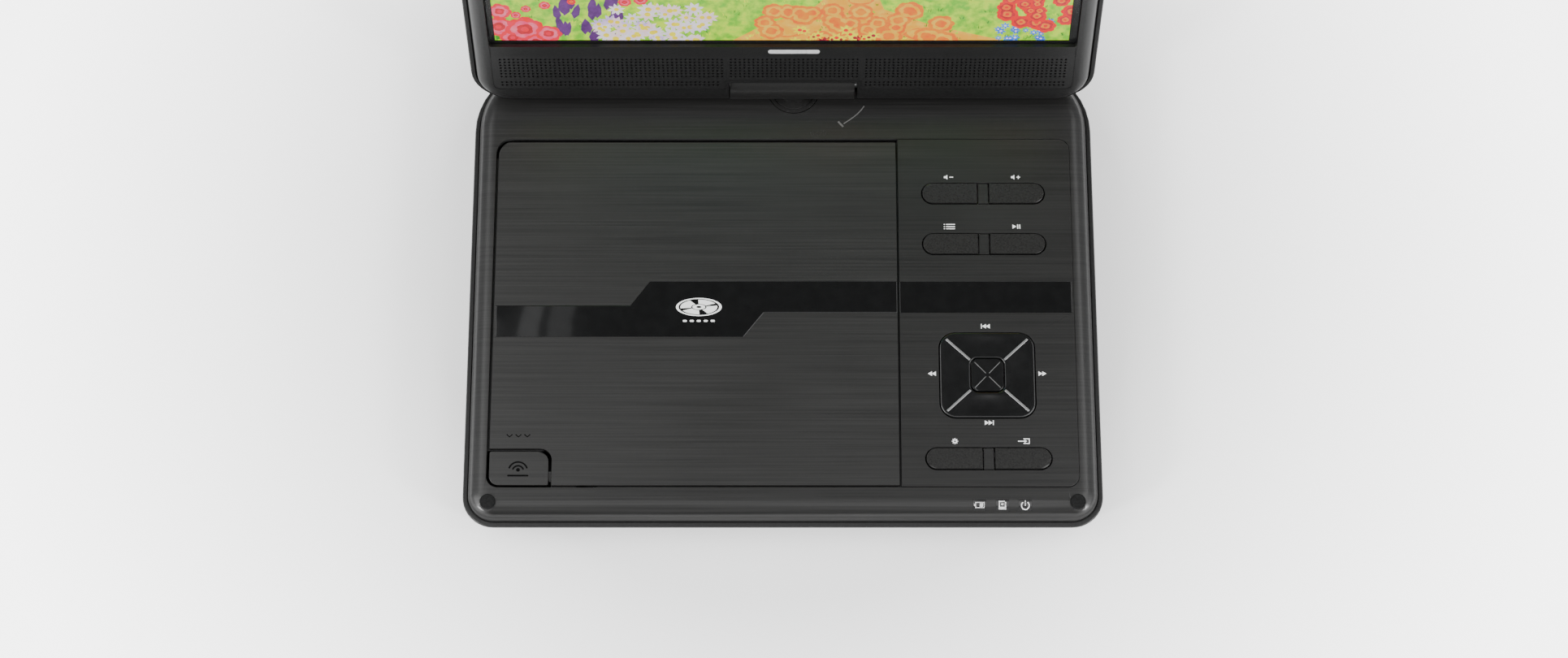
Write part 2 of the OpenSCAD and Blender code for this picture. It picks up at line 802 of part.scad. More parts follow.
// Holes for the hinge shafts through the walls beside the notch
module shaft_holes() {
    for (x = [notch_left - 4, notch_right - 1]) bar_x(x, x + 5, 0, 0, shaft_r + 0.3);
}

module lid_front_bezel() {
    rim = [
        for (a = [0:15:90])
        [skirt_inset + (lid_half_t - skirt_inset) * (1 - cos(a)),
            lid_lip + (lid_half_t - lid_lip) * sin(a)]
    ];
    color([0.12, 0.12, 0.13])
        on_lid()
            difference() {
                pillow(
                    lid_w, -lid_half_t, lid_l, lid_bottom_r, lid_top_r,
                    concat([[skirt_inset, lid_ledge]], rim)
                );
                difference() {
                    union() {
                        lid_plate(case_inset, lid_ledge - 1, lid_front_z - 1);
                        lid_plate(case_inset + 1.6, lid_front_z - 1.1, lid_front_z);
                    }
                    lid_notch(1.6);
                    for (p = lid_screw_places) {
                        translate([p[0], p[1], lid_ledge]) cylinder(h = 4, r = 2.4);
                    }
                }
                for (p = lid_screw_places) translate([p[0], p[1], 0]) cylinder(h = 4.8, r = 1.1);
                plate(-window_x, window_x, window_bottom, window_top, 0, 9, 1, 1);
                difference() {
                    plate(-grille_x, grille_x, grille_bottom, grille_top, 0, 9, 3, 0.6);
                    lid_notch(1.4);
                }
                lid_notch(0);
                shaft_holes();
            }
}

module lid_rear_cover() {
    r = lid_half_t;
    back = [for (a = [0:15:90]) [r - r * sin(a), -r * cos(a)]];
    lip = [[0, lid_lip - 0.7], [0.15, lid_lip - 0.25], [0.5, lid_lip]];
    color([0.11, 0.11, 0.12])
        on_lid()
            difference() {
                pillow(lid_w, -r, lid_l, lid_bottom_r, lid_top_r, concat(back, lip));
                difference() {
                    union() {
                        lid_plate(case_inset + 2.4, lid_floor_z, -3.4);
                        lid_plate(case_inset, -3.5, lid_lip + 1);
                    }
                    lid_notch(1.6);
                    for (p = lid_screw_places) {
                        translate([p[0], p[1], -6]) cylinder(h = 6 + lid_ledge, r = 2.4);
                    }
                    for (x = [-66, 66]) {
                        for (l = [64, 100]) translate([x, l, -6]) cylinder(h = 2.8, r = 2);
                    }
                }
                lid_plate(lip_t, lid_ledge, lid_lip + 1);
                lid_notch(0);
                shaft_holes();
                for (p = lid_screw_places) {
                    translate([p[0], p[1], -8]) cylinder(h = 2.6, r = 2);
                    translate([p[0], p[1], -8]) cylinder(h = 12, r = 1.1);
                }
            }
}

module display_window() {
    color([0.05, 0.05, 0.06, 0.6])
        on_lid()
            plate(-117, 117, 26.4, window_top + 3, lid_front_z - 0.8, lid_front_z);
}

module display_panel() {
    color([0.2, 0.2, 0.22])
        on_lid()
            plate(-116, 116, 26.4, window_top + 2.6, -0.2, lid_front_z - 0.8);
}

module display_board() {
    color([0.05, 0.28, 0.14]) on_lid() plate(-70, 70, 60, 104, -3.2, -2);
    color([0.08, 0.08, 0.09]) on_lid() plate(-12, 12, 70, 90, -2, -0.6);
}

module speaker_grille() {
    color([0.1, 0.1, 0.11])
        on_lid()
            difference() {
                union() {
                    plate(
                        -grille_x, grille_x, grille_bottom, grille_top,
                        lid_front_z, lid_half_t - 0.2, 3, 0.6
                    );
                    for (p = [lid_screw_places[0], lid_screw_places[1]]) {
                        translate([p[0], p[1], lid_ledge]) cylinder(h = 3.2, r = 2.4);
                    }
                }
                lid_notch(1.4);
                for (p = lid_screw_places) translate([p[0], p[1], 0]) cylinder(h = 4.8, r = 1.1);
            }
}

module speakers() {
    color([0.25, 0.25, 0.26])
        on_lid()
            for (side = [-1, 1]) {
                plate(side * 84 - 17, side * 84 + 17, 5.6, 21.8, -2.4, lid_front_z, 7, 7);
                translate([side * 84, 13.7, -4.6]) cylinder(h = 2.3, r = 6.5);
            }
}

module lid_hinge_brackets() {
    color([0.6, 0.6, 0.62])
        on_lid()
            for (x = [notch_left - 5.2, notch_right + 2.4]) {
                difference() {
                    union() {
                        bar_x(x, x + 2.6, 0, 0, 3.7);
                        translate([x, 0, lid_floor_z]) cube([2.6, 24, 6]);
                    }
                    bar_x(x - 1, x + 4, 0, 0, shaft_r + run_gap);
                }
            }
}

module lid_screws() {
    color([0.5, 0.5, 0.52])
        on_lid()
            for (p = lid_screw_places) {
                translate([p[0], p[1], -6.6]) cylinder(h = 1.2, r = 2);
                translate([p[0], p[1], -5.4]) cylinder(h = 9.6, r = 1.1);
            }
}

module lid_badge() {
    color([0.8, 0.8, 0.8])
        on_lid()
            plate(pivot_x - 10, pivot_x + 10, 25.4, 27.6, lid_half_t, lid_half_t + 0.15, 1.09, 1.09);
}

// Outline of the door, with its corner cut away for the button
module door_outline(z0, z1) {
    r = door_corner_r;
    corner_x = button_right + button_gap;
    corner_d = button_rear + button_gap;
    difference() {
        base_plate(door_left, door_right, door_front, door_rear, z0, z1, 0.6);
        base_plate(door_left - 5, corner_x, door_front - 5, corner_d, z0 - 1, z1 + 1, 4.7);
        base_plate(door_left - 5, corner_x, door_front - 5, corner_d - 6, z0 - 1, z1 + 1);
        base_plate(door_left - 5, corner_x - 6, door_front - 5, corner_d, z0 - 1, z1 + 1);
        translate([door_left, y_at(door_rear), z0 - 1])
            difference() {
                translate([-1, -r, 0]) cube([r + 1, r + 1, z1 - z0 + 2]);
                translate([r, -r, -1]) cylinder(h = z1 - z0 + 4, r = r);
            }
    }
}

module disc_door() {
    axis_y = y_at(door_axis_d);
    color([0.14, 0.14, 0.15])
        difference() {
            union() {
                door_outline(door_z, deck_z);
                difference() {
                    post(spindle_x, spindle_d, door_z - 1, door_z + 0.1, 60.5);
                    post(spindle_x, spindle_d, door_z - 2, door_z + 1, 58.5);
                }
                for (x = door_ears) {
                    bar_x(x - 4.4, x + 4.4, axis_y, door_axis_z, 1.9);
                    base_plate(
                        x - 4.4, x + 4.4, door_axis_d - 1.9, door_axis_d + 1.9,
                        door_axis_z, door_z + 0.1
                    );
                }
                base_plate(hook_x - 2.5, hook_x + 2.5, 15.2, 16.8, deck_z - 6, door_z + 0.1);
            }
            translate([0, 0, deck_z - stripe_t]) linear_extrude(1) door_stripe_shape();
            for (x = door_ears) {
                bar_x(x - 5, x + 5, axis_y, door_axis_z, door_pin_r + run_gap);
                for (side = [-1, 1]) {
                    bar_x(x + side * 6 - 1.6, x + side * 6 + 1.6, axis_y, door_axis_z, 2.3);
                }
            }
            rear_edge_round();
        }
}

// Rounds the door's top rear edge, so that it turns clear of the deck
module rear_edge_round() {
    r = 0.8;
    translate([door_left - 1, y_at(door_rear), deck_z])
        difference() {
            translate([0, -r, -r]) cube([door_right - door_left + 2, r + 1, r + 1]);
            translate([-1, -r, -r]) rotate([0, 90, 0]) cylinder(h = 200, r = r);
        }
}

module door_stripe() {
    color([0.03, 0.03, 0.035])
        translate([0, 0, deck_z - stripe_t]) linear_extrude(stripe_t) door_stripe_shape();
}

module open_button() {
    left = door_left + 0.1;
    front = door_front + 0.1;
    color([0.14, 0.14, 0.15]) {
        difference() {
            base_plate(left, button_right, front, button_rear, door_z, deck_z, 0.5);
            corner_round(left, front, 3.6, 0);
            corner_round(button_right, button_rear, 4, 180);
        }
        base_plate(left + 3, button_right - 3, front + 3, button_rear - 3, 18.5, door_z);
        post(-96, 21, 16.4, 18.5, 2);
    }
}

// Cutter that rounds one upright corner of the button; turn is 0 at the front left
module corner_round(x, d, r, turn) {
    translate([x, y_at(d), door_z - 1])
        rotate(turn)
            difference() {
                translate([-1, -1, 0]) cube([r + 1, r + 1, 5]);
                translate([r, r, -1]) cylinder(h = 7, r = r);
            }
}

module latch_hook() {
    color([0.85, 0.85, 0.8]) {
        base_plate(hook_x + 3, hook_x + 14, 15, 18, 17.2, 18.6);
        base_plate(hook_x + 3, hook_x + 4.4, 15, 18, 18.6, 20.4);
    }
}

module volume_down_key() { color([0.08, 0.08, 0.085]) half_key(key_rows[0], -1); }
module volume_up_key() { color([0.08, 0.08, 0.085]) half_key(key_rows[0], 1); }
module menu_key() { color([0.08, 0.08, 0.085]) half_key(key_rows[1], -1); }
module play_key() { color([0.08, 0.08, 0.085]) half_key(key_rows[1], 1); }
module setup_key() { color([0.08, 0.08, 0.085]) half_key(key_rows[2], -1); }
module source_key() { color([0.08, 0.08, 0.085]) half_key(key_rows[2], 1); }

module pad_rocker_ring() {
    color([0.5, 0.5, 0.5])
        difference() {
            post(pad_x, pad_mid_d, sheet_z + 0.6, deck_z - 4.4, 11.2);
            post(pad_x, pad_mid_d, sheet_z, deck_z - 3, 9.6);
        }
}

module direction_pad() {
    cap_w = pad_w - 2 * pad_gap;
    cap_d = pad_d - 2 * pad_gap;
    color([0.03, 0.03, 0.035])
        difference() {
            union() {
                pad_plate(cap_w, cap_d, deck_z - 3.5, pad_top, pad_r - pad_gap);
                pad_plate(cap_w + 1.4, cap_d + 1.4, deck_z - 4, deck_z - 3.4, pad_r);
            }
            pad_plate(enter_w, enter_d, deck_z - 5, pad_top + 1, 3);
            difference() {
                pad_plate(cap_w - 3, cap_d - 3, deck_z - 5, deck_z - 1.4, pad_r - 2);
                pad_plate(enter_w + 3, enter_d + 3, deck_z - 6, deck_z, 4);
            }
        }
}

module pad_ribs() {
    half_w = pad_w / 2 - 3;
    half_d = pad_d / 2 - 3;
    start = norm([enter_w / 2, enter_d / 2]) - 0.6;
    reach = norm([half_w, half_d]);
    slope = atan2(half_d, half_w);
    color([0.6, 0.6, 0.62])
        for (a = [slope, 180 - slope, 180 + slope, -slope]) {
            translate([pad_x, y_at(pad_mid_d), pad_top])
                rotate(a)
                    translate([start, -pad_rib_w / 2, 0])
                        cube([reach - start, pad_rib_w, pad_rib_h]);
        }
}

module enter_key() {
    color([0.04, 0.04, 0.045]) {
        pad_plate(enter_w - 2 * key_gap, enter_d - 2 * key_gap, deck_z - 2.8, key_top, 2.6);
        post(pad_x, pad_mid_d, deck_z - 4.1, deck_z - 2.8, 2.4);
    }
}

module power_switch() {
    color([0.1, 0.1, 0.11]) {
        base_plate(wall_x - 4.8, wall_x - 3.6, switch_d - 5, switch_d + 3, port_z - 3, port_z + 3);
        base_plate(wall_x - 3.6, wall_x, switch_d - 4.4, switch_d - 0.4, port_z - 1.7, port_z + 1.7);
    }
}

module disc_hub() {
    color([0.16, 0.16, 0.17])
        difference() {
            union() {
                post(spindle_x, spindle_d, 14.4, 16.6, 4.5);
                post(spindle_x, spindle_d, 16.6, 18, 14.5);
                post(spindle_x, spindle_d, 18, 20.2, hub_r);
                translate([spindle_x, y_at(spindle_d), 20.2]) cylinder(h = 1, r1 = hub_r, r2 = 5.4);
            }
            post(spindle_x, spindle_d, 14, 19.5, 1);
        }
}

module spindle_shaft() {
    color([0.8, 0.8, 0.82]) post(spindle_x, spindle_d, 6.8, 19.5, 1);
}

module laser_sled() {
    left = spindle_x - rod_x - 3.4;
    right = spindle_x + rod_x + 3.4;
    color([0.3, 0.3, 0.32])
        difference() {
            union() {
                base_plate(left, right, lens_d - 9, lens_d + 9, rod_z - 2.8, chassis_z - 0.4);
                base_plate(right - 1, screw_x + 2.8, lens_d - 4, lens_d + 4, rod_z - 2.6, rod_z + 2.4);
                post(spindle_x, lens_d, chassis_z - 0.5, 15, 6);
            }
            for (side = [-1, 1]) {
                bar_y(spindle_x + side * rod_x, 30, 90, rod_z, rod_r + run_gap);
            }
            bar_y(screw_x, 30, 90, rod_z, screw_r + 0.08);
        }
}

module laser_lens() {
    color([0.5, 0.6, 0.8]) {
        post(spindle_x, lens_d, 15, 15.4, 2.8);
        translate([spindle_x, y_at(lens_d), 15.4]) cylinder(h = 0.4, r1 = 2.2, r2 = 1.4);
    }
}

module sled_screw() {
    color([0.75, 0.7, 0.5]) {
        bar_y(screw_x, chassis_front + 0.5, 79.5, rod_z, screw_r);
        bar_y(screw_x, 79.5, 83.5, rod_z, 1);
    }
}

lower_case();
upper_deck();
control_panel();
panel_stripe();
disc_well();
loader_chassis();
chassis_dampers();
guide_rods();
spindle_motor();
sled_motor();
main_board();
keypad_board();
key_membrane();
battery_pack();
earphone_sockets();
video_socket();
usb_socket();
card_socket();
power_inlet();
indicator_lenses();
deck_bumpers();
rubber_feet();
case_screws();
door_hinge_pins();
latch_spring();
swivel_bearing();
swivel_turntable();
swivel_retainer();
hinge_barrel();
hinge_shafts();
lid_front_bezel();
lid_rear_cover();
display_window();
display_panel();
display_board();
speaker_grille();
speakers();
lid_hinge_brackets();
lid_screws();
lid_badge();
disc_door();
door_stripe();
open_button();
latch_hook();
volume_down_key();
volume_up_key();
menu_key();
play_key();
setup_key();
source_key();
pad_rocker_ring();
direction_pad();
pad_ribs();
enter_key();
power_switch();
disc_hub();
spindle_shaft();
laser_sled();
laser_lens();
sled_screw();
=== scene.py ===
import json
import math
import random

import bmesh
import bpy
from mathutils import Matrix, Vector


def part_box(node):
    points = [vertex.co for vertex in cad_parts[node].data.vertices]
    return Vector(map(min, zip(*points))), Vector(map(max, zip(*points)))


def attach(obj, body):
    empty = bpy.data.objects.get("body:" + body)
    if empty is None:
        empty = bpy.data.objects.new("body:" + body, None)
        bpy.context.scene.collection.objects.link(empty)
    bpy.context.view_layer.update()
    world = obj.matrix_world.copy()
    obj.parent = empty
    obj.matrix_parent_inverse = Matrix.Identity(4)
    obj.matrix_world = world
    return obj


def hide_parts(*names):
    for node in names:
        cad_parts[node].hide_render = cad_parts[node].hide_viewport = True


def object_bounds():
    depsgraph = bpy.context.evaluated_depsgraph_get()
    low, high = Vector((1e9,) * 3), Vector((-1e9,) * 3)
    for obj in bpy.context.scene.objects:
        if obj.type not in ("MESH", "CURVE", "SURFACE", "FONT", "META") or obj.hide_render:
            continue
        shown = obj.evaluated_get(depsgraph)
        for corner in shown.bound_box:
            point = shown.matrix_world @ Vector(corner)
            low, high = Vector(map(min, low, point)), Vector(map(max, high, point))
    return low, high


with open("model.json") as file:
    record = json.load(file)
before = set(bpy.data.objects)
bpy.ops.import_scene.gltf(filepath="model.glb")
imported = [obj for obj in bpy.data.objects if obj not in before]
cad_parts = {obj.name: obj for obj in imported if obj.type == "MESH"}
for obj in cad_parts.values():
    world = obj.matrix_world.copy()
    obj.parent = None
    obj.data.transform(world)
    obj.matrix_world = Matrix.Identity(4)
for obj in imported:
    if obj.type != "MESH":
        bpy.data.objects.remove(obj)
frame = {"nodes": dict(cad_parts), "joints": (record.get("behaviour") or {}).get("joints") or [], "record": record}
cad_lo, cad_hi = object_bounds()
random.seed(7)

NODES = frame["nodes"]
JOINTS = {j["name"]: j for j in frame["joints"]}
MM = 0.001
FRONT = cad_lo.y                                    # the base's front edge
DECK_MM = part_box("control_panel")[1].z / MM         # the deck's height
PIVOT = Vector(JOINTS["lid_hinge"]["pos_m"])
LID_OPEN = 106                                      # degrees from closed, in the rest pose
# The lid's own frame: x along the hinge, y up the lid, z out of the display
LID = (Matrix.Translation((0, PIVOT.y, PIVOT.z))
       @ Matrix.Rotation(math.radians(180 - LID_OPEN), 4, "X"))
# The base's: x to the right, y back from its front edge, z up
BASE = Matrix.Translation((0, FRONT, 0))


# ---------------------------------------------------------------- materials

def material(name):
    m = bpy.data.materials.new(name)
    m.use_nodes = True
    tree = m.node_tree
    tree.nodes.clear()
    out = tree.nodes.new("ShaderNodeOutputMaterial")
    shader = tree.nodes.new("ShaderNodeBsdfPrincipled")
    tree.links.new(shader.outputs[0], out.inputs[0])
    return m, tree, shader


def noise(tree, scale, detail=3.0, stretch=(1, 1, 1)):
    """Noise in object space; stretch scales each axis of the lookup."""
    coord = tree.nodes.new("ShaderNodeTexCoord")
    mapping = tree.nodes.new("ShaderNodeMapping")
    mapping.inputs["Scale"].default_value = stretch
    tex = tree.nodes.new("ShaderNodeTexNoise")
    tex.inputs["Scale"].default_value = scale
    tex.inputs["Detail"].default_value = detail
    tree.links.new(coord.outputs["Object"], mapping.inputs[0])
    tree.links.new(mapping.outputs[0], tex.inputs["Vector"])
    return tex.outputs["Fac"]


def ramp(tree, source, lo, hi, low, high):
    """Maps source from lo..hi to low..high."""
    node = tree.nodes.new("ShaderNodeMapRange")
    node.inputs["From Min"].default_value = lo
    node.inputs["From Max"].default_value = hi
    node.inputs["To Min"].default_value = low
    node.inputs["To Max"].default_value = high
    tree.links.new(source, node.inputs["Value"])
    return node.outputs["Result"]


def mix_colour(tree, fac, a, b):
    node = tree.nodes.new("ShaderNodeMix")
    node.data_type = "RGBA"
    node.inputs[6].default_value = (*a, 1)
    node.inputs[7].default_value = (*b, 1)
    tree.links.new(fac, node.inputs[0])
    return node.outputs[2]


def bump(tree, shader, height, strength, distance):
    node = tree.nodes.new("ShaderNodeBump")
    node.inputs["Strength"].default_value = strength
    node.inputs["Distance"].default_value = distance
    tree.links.new(height, node.inputs["Height"])
    tree.links.new(node.outputs[0], shader.inputs["Normal"])


BROAD_SCALE = 22         # noise scale of the slow change of roughness
ROUGH_REACH = 1.6        # the noise rarely leaves 0.2 to 0.8, so its ends lie past the spread
COAT_ROUGHNESS = 0.08
mats = {}


def finish_material(name, dark, light, rough, scale=900, stretch=(1, 1, 1), metallic=0.0,
                    bump_strength=0.15, bump_distance=0.00004, coat=0.0, specular=0.5,
                    rough_spread=0.06, detail=3.0, window=(0.35, 0.65)):
    """Puts a material in mats: two close shades by a noise, a bump from it, roughness by another."""
    m, tree, shader = material(name)
    fine = noise(tree, scale, detail, stretch)
    broad = noise(tree, BROAD_SCALE, 2.0)
    reach = ROUGH_REACH * rough_spread
    colour = mix_colour(tree, ramp(tree, fine, *window, 0, 1), dark, light)
    tree.links.new(colour, shader.inputs["Base Color"])
    tree.links.new(ramp(tree, broad, 0.0, 1.0, rough - reach, rough + reach),
                   shader.inputs["Roughness"])
    shader.inputs["Metallic"].default_value = metallic
    shader.inputs["Coat Weight"].default_value = coat
    shader.inputs["Coat Roughness"].default_value = COAT_ROUGHNESS
    shader.inputs["Specular IOR Level"].default_value = specular
    if bump_strength:
        bump(tree, shader, fine, bump_strength, bump_distance)
    mats[name] = m


def grey(v, tint=(1, 1, 1)):
    return tuple(v * t for t in tint)


def matte_flanks(m, matte, steep, level):
    """Raises the roughness to matte where the normal's rise is under level, in full at steep."""
    tree = m.node_tree
    shader = next(n for n in tree.nodes if n.type == "BSDF_PRINCIPLED")
    coord = tree.nodes.new("ShaderNodeTexCoord")
    parts = tree.nodes.new("ShaderNodeSeparateXYZ")
    tree.links.new(coord.outputs["Normal"], parts.inputs[0])
    blend = tree.nodes.new("ShaderNodeMix")
    tree.links.new(ramp(tree, parts.outputs["Z"], steep, level, 0.0, 1.0), blend.inputs[0])
    blend.inputs[2].default_value = matte
    tree.links.new(shader.inputs["Roughness"].links[0].from_socket, blend.inputs[3])
    tree.links.new(blend.outputs[0], shader.inputs["Roughness"])


WARM = (1.0, 0.985, 0.96)
COOL = (0.96, 0.98, 1.0)
# Brushing along the deck's width: a noise far finer across it than along it
BRUSHED = {"scale": 1.0, "stretch": (14, 1500, 120), "bump_strength": 0.35, "bump_distance": 0.00006,
           "rough_spread": 0.03, "detail": 4, "window": (0.3, 0.7)}
GLASS_SPECULAR = 0.18    # weak, or the display would mirror the lamps


def glass_material(name, colour, alpha, rough):
    """Puts a smooth see-through material in mats."""
    m, tree, shader = material(name)
    fine = noise(tree, 60, 2)
    tree.links.new(ramp(tree, fine, 0.3, 0.7, rough * 0.8, rough * 1.2), shader.inputs["Roughness"])
    shader.inputs["Base Color"].default_value = (*colour, 1)
    shader.inputs["Alpha"].default_value = alpha
    shader.inputs["Specular IOR Level"].default_value = GLASS_SPECULAR
    mats[name] = m


finish_material("case_plastic", grey(0.014), grey(0.02), 0.34, 1600, bump_strength=0.2,
                specular=0.35)
finish_material("brushed_plastic", grey(0.0075, WARM), grey(0.017, WARM), 0.3, **BRUSHED)
finish_material("bezel_plastic", grey(0.006), grey(0.01), 0.38, 1500, bump_strength=0.12,
                specular=0.3)
finish_material("gloss_stripe", grey(0.0045, COOL), grey(0.006, COOL), 0.03, 200,
                bump_strength=0.004, coat=0.5, rough_spread=0.006)
finish_material("well_plastic", grey(0.014), grey(0.022), 0.5, 2200, bump_strength=0.5)
finish_material("pressed_steel", grey(0.42), grey(0.52), 0.35, 1.0, (40, 900, 900), metallic=1.0)
finish_material("ground_steel", grey(0.6), grey(0.66), 0.16, 1.0, (3000, 60, 3000), metallic=1.0,
                bump_strength=0.05)
finish_material("board", (0.008, 0.07, 0.025), (0.012, 0.1, 0.04), 0.3, 260, bump_strength=0.1,
                coat=0.3)
finish_material("silicone", grey(0.38, WARM), grey(0.44, WARM), 0.55, 500)
finish_material("cell_wrap", (0.01, 0.04, 0.16), (0.014, 0.055, 0.2), 0.28, 90, bump_strength=0.3,
                bump_distance=0.0002)
finish_material("socket_plastic", grey(0.014), grey(0.02), 0.4, 1500)
finish_material("socket_metal", grey(0.5), grey(0.58), 0.26, 1.0, (60, 1200, 1200), metallic=1.0,
                bump_strength=0.08)
finish_material("lens_plastic", grey(0.014), grey(0.018), 0.14, 300, bump_strength=0.03, coat=0.4)
finish_material("black_rubber", grey(0.004, COOL), grey(0.009, COOL), 0.75, 1400, bump_strength=0.6,
                bump_distance=0.00008, specular=0.18)
finish_material("screw_steel", grey(0.05), grey(0.09), 0.38, 1800, metallic=0.9)
finish_material("hinge_plastic", grey(0.009, WARM), grey(0.013, WARM), 0.3, 1500,
                bump_strength=0.15, specular=0.4)
finish_material("grille_plastic", grey(0.007), grey(0.011), 0.42, 1600, bump_strength=0.15,
                specular=0.3)
finish_material("speaker_cone", grey(0.03), grey(0.05), 0.8, 700)
finish_material("badge_silver", grey(0.62), grey(0.72), 0.28, 800, metallic=0.35,
                bump_strength=0.04)
finish_material("key_plastic", grey(0.014, WARM), grey(0.021, WARM), 0.2, 1500, bump_strength=0.05,
                rough_spread=0.02)
finish_material("pad_gloss", grey(0.0055, COOL), grey(0.0075, COOL), 0.16, 300, bump_strength=0.02,
                coat=0.35, rough_spread=0.03)
# light grey ribs: a painted highlight, for the gloss along the ridges of the direction pad
finish_material("rib_silver", grey(0.3), grey(0.36), 0.22, 900, metallic=0.6, bump_strength=0.03,
                rough_spread=0.02)
finish_material("hub_plastic", grey(0.016), grey(0.024), 0.4, 1200)
finish_material("sled_plastic", grey(0.03), grey(0.045), 0.5, 900)
finish_material("screw_brass", (0.5, 0.33, 0.1), (0.6, 0.42, 0.15), 0.25, 1.0, (2500, 3, 2500),
                metallic=1.0, bump_strength=0.1)
finish_material("print_white", grey(0.86), grey(0.92), 0.45, 2400, bump_strength=0.05)
# near black with little sheen: painted shade, for the shading of moulded marks
finish_material("mark_painted_shade", grey(0.002), grey(0.004), 0.85, 1500, specular=0.05)
finish_material("mark_light", grey(0.075, WARM), grey(0.1, WARM), 0.3, 1500)
# a lighter copy of the brushed plastic: painted light, for the brighter reflection off the door and the open
# button
finish_material("brushed_painted_light", grey(0.0105, WARM), grey(0.022, WARM), 0.3, **BRUSHED)
finish_material("lid_plastic", grey(0.006), grey(0.009), 0.5, 1600, bump_strength=0.2,
                specular=0.22)
# light grey lines on the enter key: a painted highlight, like the ribs
finish_material("line_painted_highlight", grey(0.12), grey(0.16), 0.3, 900, metallic=0.5)
glass_material("window_glass", (0.01, 0.01, 0.011), 0.05, 0.06)
glass_material("lens_glass", (0.25, 0.32, 0.55), 0.85, 0.05)
finish_material("display_module", grey(0.01), grey(0.013), 0.2, 500, bump_strength=0.03)
finish_material("cloth", grey(0.003), grey(0.007), 0.9, 1800, bump_strength=0.4)
matte_flanks(mats["brushed_plastic"], 0.95, 0.5, 0.8)


# ---------------------------------------------------------------- CAD nodes

SHARP_ANGLE = math.radians(30)
BEVEL_ANGLE = math.radians(40)
WELD_DISTANCE = 1e-6


def smooth_tree():
    """Smooth shading that leaves the edges past SHARP_ANGLE sharp."""
    tree = bpy.data.node_groups.new("smooth_by_angle", "GeometryNodeTree")
    tree.interface.new_socket("Geometry", in_out="INPUT", socket_type="NodeSocketGeometry")
    tree.interface.new_socket("Geometry", in_out="OUTPUT", socket_type="NodeSocketGeometry")
    begin = tree.nodes.new("NodeGroupInput")
    end = tree.nodes.new("NodeGroupOutput")
    angle = tree.nodes.new("GeometryNodeInputMeshEdgeAngle")
    less = tree.nodes.new("FunctionNodeCompare")
    less.data_type = "FLOAT"
    less.operation = "LESS_EQUAL"
    less.inputs["B"].default_value = SHARP_ANGLE
    edges = tree.nodes.new("GeometryNodeSetShadeSmooth")
    edges.domain = "EDGE"
    faces = tree.nodes.new("GeometryNodeSetShadeSmooth")
    faces.domain = "FACE"
    tree.links.new(begin.outputs[0], edges.inputs["Geometry"])
    tree.links.new(angle.outputs["Unsigned Angle"], less.inputs["A"])
    tree.links.new(less.outputs["Result"], edges.inputs["Shade Smooth"])
    tree.links.new(edges.outputs[0], faces.inputs["Geometry"])
    tree.links.new(faces.outputs[0], end.inputs[0])
    return tree


SMOOTH = smooth_tree()


def soften(obj, width):
    """Welds the mesh, rounds its sharp edges and smooths what is left."""
    for name in ("custom_normal", "sharp_edge", "sharp_face"):
        if name in obj.data.attributes:
            obj.data.attributes.remove(obj.data.attributes[name])
    weld = obj.modifiers.new("weld", "WELD")
    weld.merge_threshold = WELD_DISTANCE
    if width:
        bevel = obj.modifiers.new("bevel", "BEVEL")
        bevel.width = width
        bevel.segments = 2
        bevel.limit_method = "ANGLE"
        bevel.angle_limit = BEVEL_ANGLE
        bevel.harden_normals = False
        bevel.miter_outer = "MITER_ARC"
        bevel.use_clamp_overlap = True
    smooth = obj.modifiers.new("smooth", "NODES")
    smooth.node_group = SMOOTH
    normals = obj.modifiers.new("normals", "WEIGHTED_NORMAL")
    normals.keep_sharp = True


KEY_BEVEL = 0.0009
OTHER_BEVEL = 0.00012
bevel_width = {
    "upper_deck": 0.0002, "control_panel": 0.0002, "disc_door": 0.00025, "open_button": 0.00025,
    "lower_case": 0.00015, "lid_front_bezel": 0.00025, "lid_rear_cover": 0.0002,
    "hinge_barrel": 0.0004, "swivel_turntable": 0.0004, "deck_bumpers": 0.0003,
    "lid_badge": 0.00004, "panel_stripe": 0.0003, "door_stripe": 0.0003,
    "indicator_lenses": 0.0001, "pad_ribs": 0.00014, "laser_lens": 0.00005,
    "volume_down_key": KEY_BEVEL, "volume_up_key": KEY_BEVEL, "menu_key": KEY_BEVEL,
    "play_key": KEY_BEVEL, "setup_key": KEY_BEVEL, "source_key": KEY_BEVEL, "enter_key": 0.0003,
    "key_membrane": 0.0001, "spindle_shaft": 0.0001, "guide_rods": 0.0001,
}
# Nodes whose look differs from that of the others in their slot; the door and the open button take a lighter copy
# of the brushed plastic, as painted light
OWN_MATERIAL = {"disc_door": "brushed_painted_light", "open_button": "brushed_painted_light",
                "lid_rear_cover": "lid_plastic"}
slot_of = {p["node"]: p["material_slot"] for p in frame["record"]["subparts"]}
for name, obj in NODES.items():
    obj.data.materials.clear()
    obj.data.materials.append(mats[OWN_MATERIAL.get(name, slot_of[name])])
    for polygon in obj.data.polygons:
        polygon.material_index = 0
    soften(obj, bevel_width.get(name, OTHER_BEVEL))


# ---------------------------------------------------------------- mesh helpers

def new_piece(name, bm, body, slot, mat, place, bevel=0.0):
    """Makes an object of bm, moved by place, that rides on a body; mat None is the slot's own."""
    bmesh.ops.recalc_face_normals(bm, faces=bm.faces)
    mesh = bpy.data.meshes.new(name)
    bm.to_mesh(mesh)
    bm.free()
    mesh.transform(place)
    mesh.materials.append(mat or mats[slot])
    obj = bpy.data.objects.new(name, mesh)
    bpy.context.scene.collection.objects.link(obj)
    soften(obj, bevel)
    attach(obj, body)
    return obj


